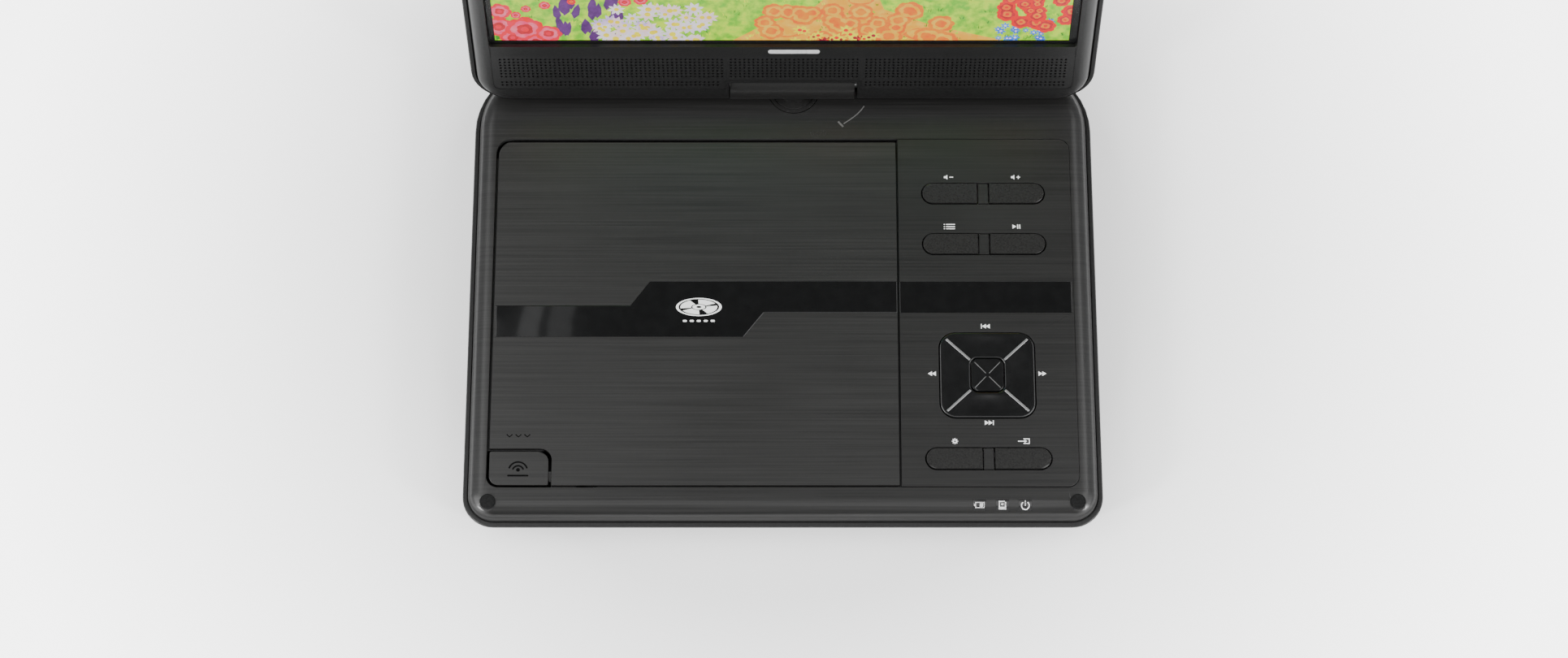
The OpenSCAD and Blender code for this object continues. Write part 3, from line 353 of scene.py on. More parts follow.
def prism(bm, points, z0, z1, material_index=0):
    """Adds an upright prism over a 2D outline, in millimetres."""
    low = [bm.verts.new((x * MM, y * MM, z0 * MM)) for x, y in points]
    high = [bm.verts.new((x * MM, y * MM, z1 * MM)) for x, y in points]
    n = len(points)
    faces = [bm.faces.new(high), bm.faces.new(list(reversed(low)))]
    for i in range(n):
        faces.append(bm.faces.new((low[i], low[(i + 1) % n], high[(i + 1) % n], high[i])))
    for f in faces:
        f.material_index = material_index


def band(bm, outer, inner, z0, z1, closed=True):
    """Adds a prism between two outlines with the same number of points."""
    n = len(outer)
    rings = [[bm.verts.new((x * MM, y * MM, z * MM)) for x, y in line]
             for z in (z0, z1) for line in (outer, inner)]
    ol, il, oh, ih = rings
    for i in range(n if closed else n - 1):
        j = (i + 1) % n
        bm.faces.new((oh[i], oh[j], ih[j], ih[i]))
        bm.faces.new((ol[i], il[i], il[j], ol[j]))
        bm.faces.new((ol[i], ol[j], oh[j], oh[i]))
        bm.faces.new((il[i], ih[i], ih[j], il[j]))
    if not closed:
        for i in (0, n - 1):
            bm.faces.new((ol[i], oh[i], ih[i], il[i]))


def arc_points(cx, cy, r, a0, a1, n, squash=1.0):
    """The n + 1 points of an arc from a0 to a1 degrees; squash flattens it."""
    return [(cx + r * math.cos(math.radians(a0 + (a1 - a0) * i / n)),
             cy + squash * r * math.sin(math.radians(a0 + (a1 - a0) * i / n)))
            for i in range(n + 1)]


def circle_points(cx, cy, r, n, squash=1.0):
    return arc_points(cx, cy, r, 0, 360, n, squash)[:-1]


def rounded(x0, y0, x1, y1, r, n):
    """Outline of a rounded rectangle, anticlockwise."""
    return (arc_points(x1 - r, y1 - r, r, 0, 90, n) + arc_points(x0 + r, y1 - r, r, 90, 180, n)
            + arc_points(x0 + r, y0 + r, r, 180, 270, n)
            + arc_points(x1 - r, y0 + r, r, 270, 360, n))


def rect(x0, y0, x1, y1):
    return [(x0, y0), (x1, y0), (x1, y1), (x0, y1)]


def dense(x0, y0, x1, y1, r, corner, side):
    """Rounded rectangle with points along its straight sides too, anticlockwise."""
    points = []
    centres = [(x1 - r, y1 - r, 0), (x0 + r, y1 - r, 90),
               (x0 + r, y0 + r, 180), (x1 - r, y0 + r, 270)]
    for k, (cx, cy, a) in enumerate(centres):
        points += arc_points(cx, cy, r, a, a + 90, corner)
        nx, ny, na = centres[(k + 1) % 4]
        sx, sy = points[-1]
        ex, ey = nx + r * math.cos(math.radians(na)), ny + r * math.sin(math.radians(na))
        points += [(sx + (ex - sx) * i / side, sy + (ey - sy) * i / side) for i in range(1, side)]
    return points


def stroke(bm, line, width, z0, z1):
    """Adds a flat-ended line of a width along points, as one prism."""
    left, right = [], []
    for i, (x, y) in enumerate(line):
        ax, ay = line[max(0, i - 1)]
        bx, by = line[min(len(line) - 1, i + 1)]
        length = math.hypot(bx - ax, by - ay)
        nx, ny = -(by - ay) / length * width / 2, (bx - ax) / length * width / 2
        left.append((x + nx, y + ny))
        right.append((x - nx, y - ny))
    prism(bm, right + left[::-1], z0, z1)


# ---------------------------------------------------------------- printed marks on the panel

PRINT_LOW, PRINT_HIGH = DECK_MM - 0.02, DECK_MM + 0.02
LEFT_X = 65.25                                   # over the left keys of the upper pairs
VOLUME_D, MENU_D, SETUP_D = 140.8, 120.0, 32.2   # the rows of marks, back from the front edge
GEAR_X, SOURCE_X = 65.85, 92.25
marks = bmesh.new()


def mark(points, x, d):
    prism(marks, [(x + px, d + py) for px, py in points], PRINT_LOW, PRINT_HIGH)


def triangle(w, h, sign):
    """Points right for sign 1 and left for -1."""
    return [(-sign * w / 2, -h / 2), (sign * w / 2, 0), (-sign * w / 2, h / 2)][::sign]


# volume: minus and plus beside a small loudspeaker
for x, plus in ((LEFT_X, False), (91.65, True)):
    mark([(-0.9, -0.4), (-0.3, -0.4), (0.45, -1.0), (0.45, 1.0), (-0.3, 0.4), (-0.9, 0.4)],
         x - 0.9, VOLUME_D)
    mark(rect(-0.7, -0.19, 0.7, 0.19), x + 1.1, VOLUME_D)
    if plus:
        mark(rect(-0.19, 0.19, 0.19, 0.7), x + 1.1, VOLUME_D)
        mark(rect(-0.19, -0.7, 0.19, -0.19), x + 1.1, VOLUME_D)
# menu: a list; play and pause
for i in (-0.9, 0, 0.9):
    mark(rect(-1.3, i - 0.17, 2.2, i + 0.17), LEFT_X, MENU_D)
    mark(rect(-2.2, i - 0.17, -1.75, i + 0.17), LEFT_X, MENU_D)
mark(triangle(1.5, 1.8, 1), 90.7, MENU_D)
for x in (92.0, 92.85):
    mark(rect(-0.2, -0.9, 0.2, 0.9), x, MENU_D)
# transport marks round the pad; the skip marks end in a bar
for x, d, sign, skip in ((78.65, 78.7, -1, True), (57.45, 59.4, -1, False),
                         (100.05, 59.4, 1, False), (78.95, 39.6, 1, True)):
    mark(triangle(1.6, 1.9, sign), x - 0.75, d)
    mark(triangle(1.6, 1.9, sign), x + 0.75, d)
    if skip:
        mark(rect(-0.17, -0.95, 0.17, 0.95), x + sign * 1.75, d)
# setup: a toothed wheel; source: an arrow into a frame
band(marks, circle_points(GEAR_X, SETUP_D, 0.82, 16), circle_points(GEAR_X, SETUP_D, 0.36, 16),
     PRINT_LOW, PRINT_HIGH)
for k in range(8):
    a = math.radians(45 * k)
    c, s = math.cos(a), math.sin(a)
    tooth = ((0.78, -0.2), (1.2, -0.16), (1.2, 0.16), (0.78, 0.2))
    mark([(c * r - s * t, s * r + c * t) for r, t in tooth], GEAR_X, SETUP_D)
for corners in ((-0.2, 0.75, 2.2, 1.1), (-0.2, -1.1, 2.2, -0.75), (1.85, -0.75, 2.2, 0.75),
                (-2.3, -0.2, 0.2, 0.2)):
    mark(rect(*corners), SOURCE_X, SETUP_D)
mark(triangle(1.0, 1.3, 1), SOURCE_X + 0.7, SETUP_D)
new_piece("panel_marks", marks, "base", "key_plastic", mats["print_white"], BASE)


# ---------------------------------------------------------------- more printed and raised marks

# Disc pictogram on the stripe: a disc seen at a slant over a row of dashes
pictogram = bmesh.new()
DISC_X, DISC_D = -32.6, 86.6
SLANT = 0.42             # the disc's depth over its width
for r_out, r_in, n in ((8.9, 7.9, 64), (2.5, 1.0, 40)):
    band(pictogram, circle_points(DISC_X, DISC_D, r_out, n, SLANT),
         circle_points(DISC_X, DISC_D, r_in, n, SLANT), PRINT_LOW, PRINT_HIGH)
for a0, a1 in ((-62, 12), (28, 92), (118, 192), (208, 272)):
    outer = arc_points(DISC_X, DISC_D, 7.2, a0, a1, 16, SLANT)
    inner = arc_points(DISC_X, DISC_D, 3.0, a0, a1, 16, SLANT)
    prism(pictogram, outer + inner[::-1], PRINT_LOW, PRINT_HIGH)
for k in range(5):
    x = DISC_X + (k - 2) * 2.7
    prism(pictogram, rounded(x - 0.8, 80.5, x + 0.8, 81.3, 0.35, 4), PRINT_LOW, PRINT_HIGH)
new_piece("disc_mark", pictogram, "door", "gloss_stripe", mats["print_white"], BASE)

# Raised marks start inside the plastic and stand a little out of it
MARK_ROOT = DECK_MM - 0.1
OPEN_TOP, ARROW_TOP, DOOR_TOP, DOT_TOP = (DECK_MM + rise for rise in (0.12, 0.1, 0.07, 0.06))
# Mark on the open button: two arcs over a dot and a bar; three chevrons on the door beside it. Both are near
# black, painted shade for moulded marks.
open_mark = bmesh.new()
OPEN_X, OPEN_D = -101.0, 20.3
for r in (2.1, 3.6):
    outer = arc_points(OPEN_X, OPEN_D, r + 0.28, 18, 162, 20)
    inner = arc_points(OPEN_X, OPEN_D, r - 0.28, 18, 162, 20)
    prism(open_mark, outer + inner[::-1], MARK_ROOT, OPEN_TOP)
prism(open_mark, circle_points(OPEN_X, OPEN_D + 0.5, 0.7, 20), MARK_ROOT, OPEN_TOP)
prism(open_mark, rounded(OPEN_X - 4.0, OPEN_D - 2.1, OPEN_X + 4.0, OPEN_D - 1.5, 0.28, 4),
      MARK_ROOT, OPEN_TOP)
new_piece("open_mark", open_mark, "open_button", "brushed_plastic", mats["mark_painted_shade"], BASE)
door_mark = bmesh.new()
for k in range(3):
    x = -104.6 + 3.4 * k
    stroke(door_mark, [(x - 1.1, 34.9), (x, 33.9), (x + 1.1, 34.9)], 0.4, MARK_ROOT, DOOR_TOP)
new_piece("door_mark", door_mark, "door", "brushed_plastic", mats["mark_painted_shade"], BASE)

# Raised arrow on the deck that shows which way the lid turns, and three small rings
arrow = bmesh.new()
curve = [(24.1, 163.6), (26.0, 164.9), (27.9, 166.3), (29.8, 168.0), (31.2, 169.6), (32.3, 171.2)]
stroke(arrow, curve, 0.45, MARK_ROOT, ARROW_TOP)
stroke(arrow, [(21.9, 164.5), (23.9, 162.3)], 0.75, MARK_ROOT, ARROW_TOP)
new_piece("turn_arrow", arrow, "base", "brushed_plastic", mats["mark_light"], BASE)
degrees_mark = bmesh.new()
for k in range(3):
    stroke(degrees_mark, arc_points(11.6 + 2.4 * k, 159.6, 0.8, 200, 520, 14), 0.28,
           MARK_ROOT, DOT_TOP)
new_piece("turn_dots", degrees_mark, "base", "brushed_plastic", None, BASE, 0.00003)


# ---------------------------------------------------------------- indicator symbols on the lenses

def lens_point(x, d, lift):
    """A point on the indicator lenses, which follow the rounded front rim."""
    run, top_z, low_z, inset, sunk = 6.35, 25.0, 20.6, 2.4, 0.12
    share = max(0.0, 1 - (d - inset) / run)
    return (x, d, low_z + (top_z - low_z) * math.sqrt(1 - share * share) - sunk + lift)


def on_slope(bm):
    """Bends marks drawn at height 0 onto the front rim."""
    for v in bm.verts:
        x, d, lift = v.co.x / MM, v.co.y / MM, v.co.z / MM
        v.co = Vector(lens_point(x, d, lift)) * MM


symbols = bmesh.new()
BATTERY_X, CARD_X, POWER_X, POWER_D = 74.75, 83.45, 92.15, 6.8
SYMBOL_THICK = 0.05


def slope_rect(x0, d0, x1, d1):
    """A bar in slices, so that it can follow the rim."""
    steps = 4
    for i in range(steps):
        y0 = d0 + (d1 - d0) * i / steps
        y1 = d0 + (d1 - d0) * (i + 1) / steps
        prism(symbols, rect(x0, y0, x1, y1), 0.0, SYMBOL_THICK)


# battery, half full
for x0, d0, x1, d1 in ((-1.6, 5.9, 1.9, 6.15), (-1.6, 7.85, 1.9, 8.1), (-1.6, 6.15, -1.3, 7.85),
                       (1.65, 6.15, 1.9, 7.85), (-2.1, 6.6, -1.6, 7.4), (0.1, 6.4, 1.4, 7.6)):
    slope_rect(BATTERY_X + x0, d0, BATTERY_X + x1, d1)
# card with a cut corner
for x0, d0, x1, d1 in ((-1.4, 5.4, 1.4, 6.3), (-1.4, 6.3, -0.9, 8.6), (0.9, 6.3, 1.4, 8.1),
                       (-0.9, 8.1, 0.9, 8.6), (-0.45, 6.9, 0.45, 7.6)):
    slope_rect(CARD_X + x0, d0, CARD_X + x1, d1)
# open ring with a bar
ring_out = arc_points(POWER_X, POWER_D, 1.65, 125, 415, 22)
ring_in = arc_points(POWER_X, POWER_D, 1.3, 125, 415, 22)
band(symbols, ring_out, ring_in, 0.0, SYMBOL_THICK, closed=False)
slope_rect(POWER_X - 0.17, 6.7, POWER_X + 0.17, 8.7)
on_slope(symbols)
new_piece("indicator_marks", symbols, "base", "lens_plastic", mats["print_white"], BASE)


# ---------------------------------------------------------------- direction pad and enter key

def loft(bm, rings):
    """Joins rings of the same number of points, in millimetres, and the last one to the first."""
    loops = [[bm.verts.new((x * MM, y * MM, z * MM)) for x, y, z in ring] for ring in rings]
    n = len(loops[0])
    for a, b in zip(loops, loops[1:] + loops[:1]):
        for i in range(n):
            j = (i + 1) % n
            bm.faces.new((a[i], a[j], b[j], b[i]))


def centre_of(node):
    lo_, hi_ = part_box(node)
    return (lo_ + hi_) / 2


pad_centre = centre_of("direction_pad")
pcx, pcd = pad_centre.x / MM, (pad_centre.y - FRONT) / MM
PAD_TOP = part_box("direction_pad")[1].z / MM
CAP_W, CAP_D = 36.6, 34.3
HOLE_W, HOLE_D = 13.3, 14.0
CAP, HOLE = (CAP_W, CAP_D, 6.1), (HOLE_W, HOLE_D, 3.0)     # each with its corner radius
SMALLEST_RADIUS = 0.3
DISH = 0.22              # depth of the hollow in each of the four lobes
DISH_STEPS = 10


def pad_line(shape, grow):
    """Outline of the cap or of its hole, grown all round."""
    w, d, r = shape
    w, d, r = w + 2 * grow, d + 2 * grow, max(SMALLEST_RADIUS, r + grow)
    return dense(pcx - w / 2, pcd - d / 2, pcx + w / 2, pcd + d / 2, r, 8, 16)


def pad_ring(shape, grow, drop):
    return [(x, y, PAD_TOP - drop) for x, y in pad_line(shape, grow)]


pad_bm = bmesh.new()
# up the hole's wall and over its edge
rings = [pad_ring(HOLE, *step) for step in ((0, 3.8), (0, 0.35), (0.1, 0.16), (0.3, 0.06))]
near, far = pad_line(HOLE, 0.45), pad_line(CAP, -0.6)
for k in range(DISH_STEPS + 1):
    t = k / DISH_STEPS
    ring = []
    for (x0, y0), (x1, y1) in zip(near, far):
        x, y = x0 + (x1 - x0) * t, y0 + (y1 - y0) * t
        angle = math.atan2((y - pcd) / CAP_D, (x - pcx) / CAP_W)
        dish = DISH * math.sin(math.pi * min(1, t * 1.02)) * abs(math.cos(2 * angle)) ** 0.8
        ring.append((x, y, PAD_TOP - dish))
    rings.append(ring)
# over the outer edge, down to the flange and back under the cap
rings += [pad_ring(CAP, *step) for step in ((-0.3, 0.05), (-0.1, 0.16), (0, 0.38), (0, 3.6),
                                            (0.6, 3.65), (0.6, 4.25), (-1.4, 4.25), (-1.5, 1.8))]
rings += [pad_ring(HOLE, *step) for step in ((1.5, 1.8), (1.4, 3.8))]
loft(pad_bm, rings)
pad_piece = new_piece("pad_cap", pad_bm, "pad", "pad_gloss", None, BASE)
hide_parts("direction_pad")

# Lines that carry the ribs' cross on over the enter key, light grey as a painted highlight like the ribs
lines = bmesh.new()
ENTER_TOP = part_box("enter_key")[1].z / MM
slope = math.degrees(math.atan2(HOLE_D, HOLE_W))
for a in (slope, 180 - slope, 180 + slope, -slope):
    c, s_ = math.cos(math.radians(a)), math.sin(math.radians(a))
    stroke(lines, [(pcx + c * r, pcd + s_ * r) for r in (0.9, 3.0, 5.1, 7.2)], 0.36,
           ENTER_TOP - 0.1, ENTER_TOP + 0.1)
new_piece("enter_lines", lines, "enter", "rib_silver", mats["line_painted_highlight"], BASE, 0.00008)


# ---------------------------------------------------------------- speaker grille

def grille():
    """A sheet with eight-sided holes in a grid, notched round the hinge, over a cloth."""
    grille_lo, grille_hi = -113.6, 113.6
    bottom, top_l = 3.6, 23.8
    face, back, cloth = 6.8, 6.2, 5.9
    notch_x0, notch_x1, notch_l = -22.6, 30.7, 8.8
    nx, nl, pitch_x, pitch_l, hole_r = 126, 10, 1.76, 1.72, 0.5
    side_margin, top_margin = 0.9, 0.4              # solid strips round the notch
    corner_x, corner_l = 110.9, 6.5                 # solid lower corners
    cloth_thick = 0.7
    tiny, close = 1e-6, 1e-3
    start_x = -nx * pitch_x / 2
    start_l = 5.1
    xs = sorted({grille_lo, grille_hi, notch_x0, notch_x1}
                | {start_x + i * pitch_x for i in range(nx + 1)})
    ls = sorted({bottom, top_l, notch_l} | {start_l + i * pitch_l for i in range(nl + 1)})
    cells_x = {round(start_x + i * pitch_x, 4) for i in range(nx)}
    cells_l = {round(start_l + i * pitch_l, 4) for i in range(nl)}
    bm = bmesh.new()
    cache = {}

    def vert(x, l, z):
        key = (round(x, 4), round(l, 4), round(z, 4))
        if key not in cache:
            cache[key] = bm.verts.new((x * MM, l * MM, z * MM))
        return cache[key]

    def solid(x0, x1, l0):
        return not (x1 > notch_x0 + tiny and x0 < notch_x1 - tiny and l0 < notch_l - tiny)

    def is_open(x0, x1, l0, l1):
        near_notch = (x1 > notch_x0 - side_margin and x0 < notch_x1 + side_margin
                      and l0 < notch_l + top_margin)
        corner = abs((x0 + x1) / 2) > corner_x and l0 < corner_l
        return (round(x0, 4) in cells_x and round(l0, 4) in cells_l
                and abs(x1 - x0 - pitch_x) < close and abs(l1 - l0 - pitch_l) < close
                and not near_notch and not corner)

    columns, rows = list(zip(xs, xs[1:])), list(zip(ls, ls[1:]))
    filled = {(i, j) for i, (x0, x1) in enumerate(columns) for j, (l0, l1) in enumerate(rows)
              if solid(x0, x1, l0)}
    hole = [(hole_r * math.cos(math.radians(22.5 + 45 * k)),
             hole_r * math.sin(math.radians(22.5 + 45 * k))) for k in range(8)]
    for i, j in filled:
        (x0, x1), (l0, l1) = columns[i], rows[j]
        corners = [(x1, l1), (x0, l1), (x0, l0), (x1, l0)]
        if is_open(x0, x1, l0, l1):
            mx, ml = (x0 + x1) / 2, (l0 + l1) / 2
            hole_pts = [(mx + hx, ml + hl) for hx, hl in hole]
            for z, up in ((face, True), (back, False)):
                ring = [vert(x, l, z) for x, l in hole_pts]
                corner = [vert(x, l, z) for x, l in corners]
                faces = []
                for k in range(4):
                    faces.append((corner[k], ring[2 * k + 1], ring[2 * k]))
                    faces.append((corner[k], corner[(k + 1) % 4],
                                  ring[(2 * k + 2) % 8], ring[2 * k + 1]))
                for f in faces:
                    bm.faces.new(f if up else f[::-1])
            for k in range(8):
                a, b = hole_pts[k], hole_pts[(k + 1) % 8]
                bm.faces.new((vert(*a, face), vert(*b, face), vert(*b, back), vert(*a, back)))
        else:
            for z, up in ((face, True), (back, False)):
                quad = [vert(x, l, z) for x, l in corners]
                bm.faces.new(quad if up else quad[::-1])
        for di, dj, a, b in ((1, 0, 3, 0), (-1, 0, 1, 2), (0, 1, 0, 1), (0, -1, 2, 3)):
            if (i + di, j + dj) not in filled:
                p, q = corners[a], corners[b]
                bm.faces.new((vert(*p, face), vert(*p, back), vert(*q, back), vert(*q, face)))
    piece = new_piece("grille_sheet", bm, "lid", "grille_plastic", None, LID)
    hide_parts("speaker_grille")
    cloth_bm = bmesh.new()
    outline = [(grille_lo, top_l), (grille_lo, bottom), (notch_x0, bottom), (notch_x0, notch_l),
               (notch_x1, notch_l), (notch_x1, bottom), (grille_hi, bottom), (grille_hi, top_l)]
    prism(cloth_bm, outline, cloth - cloth_thick, cloth)
    new_piece("grille_cloth", cloth_bm, "lid", "speaker_cone", mats["cloth"], LID)


grille()


# ---------------------------------------------------------------- display: window, border and picture

PX0, PX1, PL0, PL1 = -111.25, 110.5, 30.3, 155.4
WINDOW_X, WINDOW_BOTTOM, WINDOW_TOP = 117, 26.4, 160.6
# heights in the lid's frame, from the picture out to the pane
PICTURE_FACE, BORDER_LOW, BORDER_HIGH, PANE_LOW, PANE_HIGH = 4.42, 4.55, 4.75, 4.9, 5.2
W, H = PX1 - PX0, PL1 - PL0
window_line = dense(-WINDOW_X, WINDOW_BOTTOM, WINDOW_X, WINDOW_TOP, 0.5, 4, 2)
border = bmesh.new()
band(border, window_line, dense(PX0, PL0, PX1, PL1, 0.2, 4, 2), BORDER_LOW, BORDER_HIGH)
new_piece("window_border", border, "lid", "display_module", None, LID)
pane = bmesh.new()
prism(pane, window_line, PANE_LOW, PANE_HIGH)
pane_piece = new_piece("window_pane", pane, "lid", "window_glass", None, LID)
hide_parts("display_window")

VIVID_GAIN = 1.45
GLOW = 1.35              # emission strength of the picture
TURN = 6.28              # about a full turn, for random angles
PAINT_THICK = 0.004      # each shape lies a little higher than those it covers


def vivid(colour):
    """The colour with its channels pushed apart."""
    middle = sum(colour) / 3
    return tuple(min(1.0, max(0.0, middle + (c - middle) * VIVID_GAIN)) for c in colour)


def picture_material(name, a, b):
    """A lit part of the picture, between two shades."""
    m, tree, shader = material("picture_" + name)
    blend = mix_colour(tree, ramp(tree, noise(tree, 300, 3), 0.35, 0.65, 0, 1), vivid(a), vivid(b))
    shader.inputs["Base Color"].default_value = (0.01, 0.01, 0.01, 1)
    shader.inputs["Roughness"].default_value = 0.5
    tree.links.new(blend, shader.inputs["Emission Color"])
    shader.inputs["Emission Strength"].default_value = GLOW
    return m


PALETTE = {
    "lawn": ((0.18, 0.5, 0.01), (0.55, 0.78, 0.03)),
    "lawn_dark": ((0.03, 0.2, 0.02), (0.08, 0.3, 0.03)),
    "leaf": ((0.05, 0.26, 0.03), (0.12, 0.4, 0.05)),
    "sun_green": ((0.62, 0.82, 0.03), (0.82, 0.9, 0.1)),
    "sky": ((0.28, 0.6, 0.88), (0.45, 0.75, 0.95)),
    "cloud": ((0.85, 0.9, 0.95), (0.95, 0.97, 1.0)),
    "bark": ((0.12, 0.05, 0.02), (0.2, 0.09, 0.04)),
    "rose": ((0.85, 0.03, 0.1), (0.95, 0.08, 0.17)),
    "rose_deep": ((0.45, 0.02, 0.06), (0.6, 0.03, 0.09)),
    "rose_light": ((0.95, 0.16, 0.26), (1.0, 0.3, 0.36)),
    "red": ((0.85, 0.02, 0.01), (0.95, 0.06, 0.01)),
    "orange": ((0.95, 0.22, 0.02), (1.0, 0.36, 0.06)),
    "apricot": ((0.98, 0.46, 0.14), (1.0, 0.58, 0.22)),
    "gold": ((0.95, 0.66, 0.01), (1.0, 0.82, 0.04)),
    "rose_pale": ((0.92, 0.72, 0.74), (0.96, 0.82, 0.82)),
    "violet": ((0.08, 0.03, 0.12), (0.14, 0.06, 0.2)),
    "lilac": ((0.6, 0.48, 0.75), (0.78, 0.68, 0.88)),
    "white": ((0.82, 0.74, 0.84), (0.96, 0.92, 0.96)),
    "blue": ((0.03, 0.14, 0.62), (0.08, 0.3, 0.85)),
    "wine": ((0.25, 0.01, 0.04), (0.35, 0.02, 0.06)),
}
names = list(PALETTE)
pic = bmesh.new()


def paint(points, colour, lift=0.0):
    """Lays a thin shape on the picture, cut to its edges, in millimetres from its lower left."""
    kept = clip(points)
    if len(kept) < 3:
        return
    low = PICTURE_FACE + lift
    prism(pic, [(PX0 + x, PL0 + y) for x, y in kept], low, low + PAINT_THICK, names.index(colour))


def clip(points):
    """Cuts an outline, convex or nearly so, to the picture's rectangle."""
    for axis, limit, sign in ((0, 0.0, 1), (0, W, -1), (1, 0.0, 1), (1, H, -1)):
        result = []
        for i, p in enumerate(points):
            q = points[(i + 1) % len(points)]
            a, b = sign * (p[axis] - limit), sign * (q[axis] - limit)
            if a >= 0:
                result.append(p)
            if a * b < 0:
                t = a / (a - b)
                result.append((p[0] + (q[0] - p[0]) * t, p[1] + (q[1] - p[1]) * t))
        points = result
        if len(points) < 3:
            return []
    return points


def blob(x, y, r, colour, lift, wobble, squash, n):
    """A round shape with a wavy edge."""
    phase = random.uniform(0, TURN)
    paint([(x + r * (1 + wobble * math.sin(3 * a + phase)) * math.cos(a),
            y + squash * r * (1 + wobble * math.sin(2 * a + phase)) * math.sin(a))
           for a in (2 * math.pi * k / n for k in range(n))], colour, lift)


def leaf(x, y, length, angle, colour, lift, width):
    c, s_ = math.cos(angle), math.sin(angle)
    shape = [(0, 0), (0.3, -0.5), (0.7, -0.38), (1, 0), (0.7, 0.38), (0.3, 0.5)]
    paint([(x + length * (u * c - v * width * s_), y + length * (u * s_ + v * width * c))
           for u, v in shape], colour, lift)


def rose(x, y, r, colours, lift):
    """Rings of petals, each a little higher than the one outside it."""
    outer, middle, heart = colours
    for ring_r, petals, size_, shade, extra in (
            (0.55, 7, 0.5, outer, 0.0), (0.34, 5, 0.42, middle, 0.004),
            (0.16, 4, 0.3, heart, 0.008), (0.0, 1, 0.2, outer, 0.012)):
        turn = random.uniform(0, TURN)
        for k in range(petals):
            a = turn + 2 * math.pi * k / petals
            blob(x + r * ring_r * math.cos(a), y + r * ring_r * math.sin(a), r * size_, shade,
                 lift + extra + 0.0005 * k, 0.08, random.uniform(0.8, 1.0), 10)


def daisy(x, y, r, petal, centre, lift, petals=8):
    turn = random.uniform(0, TURN)
    for k in range(petals):
        a = turn + 2 * math.pi * k / petals
        leaf(x, y, r, a, petal, lift + 0.0004 * k, 0.42)
    blob(x, y, r * 0.28, centre, lift + 0.006, 0.05, 1.0, 8)


def tuft(x, y, h, colour, lift, blades):
    for k in range(blades):
        leaf(x + random.uniform(-0.6, 0.6), y, h * random.uniform(0.6, 1),
             math.pi / 2 + random.uniform(-0.6, 0.6), colour, lift + 0.0004 * k, 0.16)


# lawn, sky, clouds, hills and trees
paint(rect(0, 0, W, H), "lawn")
paint([(0, 70), (50, 76), (120, 72), (W, 78), (W, H), (0, H)], "sky", 0.005)
for x, y, r in ((40, 112, 7), (48, 114, 9), (58, 111, 6), (150, 108, 6), (159, 111, 9), (170, 108, 6)):
    blob(x, y, r, "cloud", 0.012, 0.06, 0.55, 16)
paint([(0, 58), (30, 74), (70, 80), (110, 72), (150, 80), (190, 84), (W, 74), (W, 50), (0, 50)],
      "leaf", 0.016)
for x, y, r in ((12, 84, 15), (28, 92, 12), (3, 98, 13), (205, 88, 15), (218, 100, 14), (192, 80, 10)):
    paint(rect(x - 1.6, y - 40, x + 1.6, y), "bark", 0.02)
    blob(x, y, r, "lawn_dark", 0.024, 0.1, 0.9, 18)
    for k in range(14):
        a, d_ = random.uniform(0, TURN), random.uniform(0, r * 0.8)
        blob(x + d_ * math.cos(a), y + d_ * math.sin(a), random.uniform(1.6, 3.2),
             random.choice(("leaf", "sun_green", "leaf")), 0.03 + 0.0005 * k, 0.2, 0.8, 9)
# a stepping path that winds from the lower right to the hills
path_left = [(92, 0), (104, 9), (122, 18), (132, 30), (126, 44), (118, 58)]
path_right = [(124, 58), (136, 44), (146, 30), (150, 18), (168, 9), (196, 0)]
paint(path_left + path_right, "apricot", 0.02)
for x, y, r in ((112, 5, 7), (138, 6, 8), (165, 3.5, 7), (128, 15, 6), (141, 23, 5), (138, 34, 4),
                (131, 43, 3), (150, 13, 5)):
    blob(x, y, r, "orange", 0.028, 0.1, 0.5, 14)
    blob(x - 0.4, y + 0.5, r * 0.82, "apricot", 0.032, 0.1, 0.5, 14)
# lawn texture
for k in range(420):
    y = 62 * random.random() ** 1.3
    x = random.uniform(0, W)
    tuft(x, y, 2.6 - y / 40, random.choice(("sun_green", "lawn_dark", "leaf", "lawn")), 0.024, 3)
# beds of flowers
PINK_ROSE, RED_ROSE = ("rose", "rose_light", "rose_deep"), ("red", "rose_deep", "orange")
for k in range(26):
    x, y = random.uniform(24, 48), random.uniform(-2, 22)
    leaf(x, y - 3, 9, math.pi / 2 + random.uniform(-0.3, 0.3), "violet", 0.04 + 0.0004 * k, 0.35)
for k in range(44):
    x, y = 40 + k + random.uniform(-2, 2), random.uniform(-1, 19)
    daisy(x, y, random.uniform(3.2, 4.8), random.choice(("white", "lilac", "white", "rose_pale")),
          "gold", 0.045 + 0.0006 * k)
for k in range(26):
    x, y = 104 + 72 * k / 26 + random.uniform(-2, 2), random.uniform(-1, 18)
    rose(x, y, random.uniform(3.6, 6.0), ("orange", "apricot", "orange"), 0.04 + 0.001 * k)
for k in range(18):
    x, y = 116 + 32 * k / 18, random.uniform(-2, 7)
    daisy(x, y, random.uniform(2.2, 3.4), random.choice(("wine", "gold", "gold")),
          random.choice(("red", "wine")), 0.082 + 0.0008 * k, 7)
for k in range(26):
    x, y = random.uniform(193, 214), random.uniform(0, 12)
    daisy(x, y, random.uniform(1.4, 2.2), "blue", "white", 0.05 + 0.0006 * k, 6)
for k in range(20):
    x, y = random.uniform(196, 222), random.uniform(8, 26)
    rose(x, y, random.uniform(2.6, 4.2), RED_ROSE, 0.075 + 0.0008 * k)
for k in range(12):
    x, y = random.uniform(0, 26), random.uniform(-1, 10)
    leaf(x, y, 6, random.uniform(0, TURN), "lawn_dark", 0.04, 0.5)
for x, y, r in ((2, 8, 6), (12, 6.5, 7.5), (21, 4, 5), (7, 1.5, 5), (16, -1, 5), (3, 17, 4.5)):
    rose(x, y, r, PINK_ROSE, 0.09 + 0.001 * x)
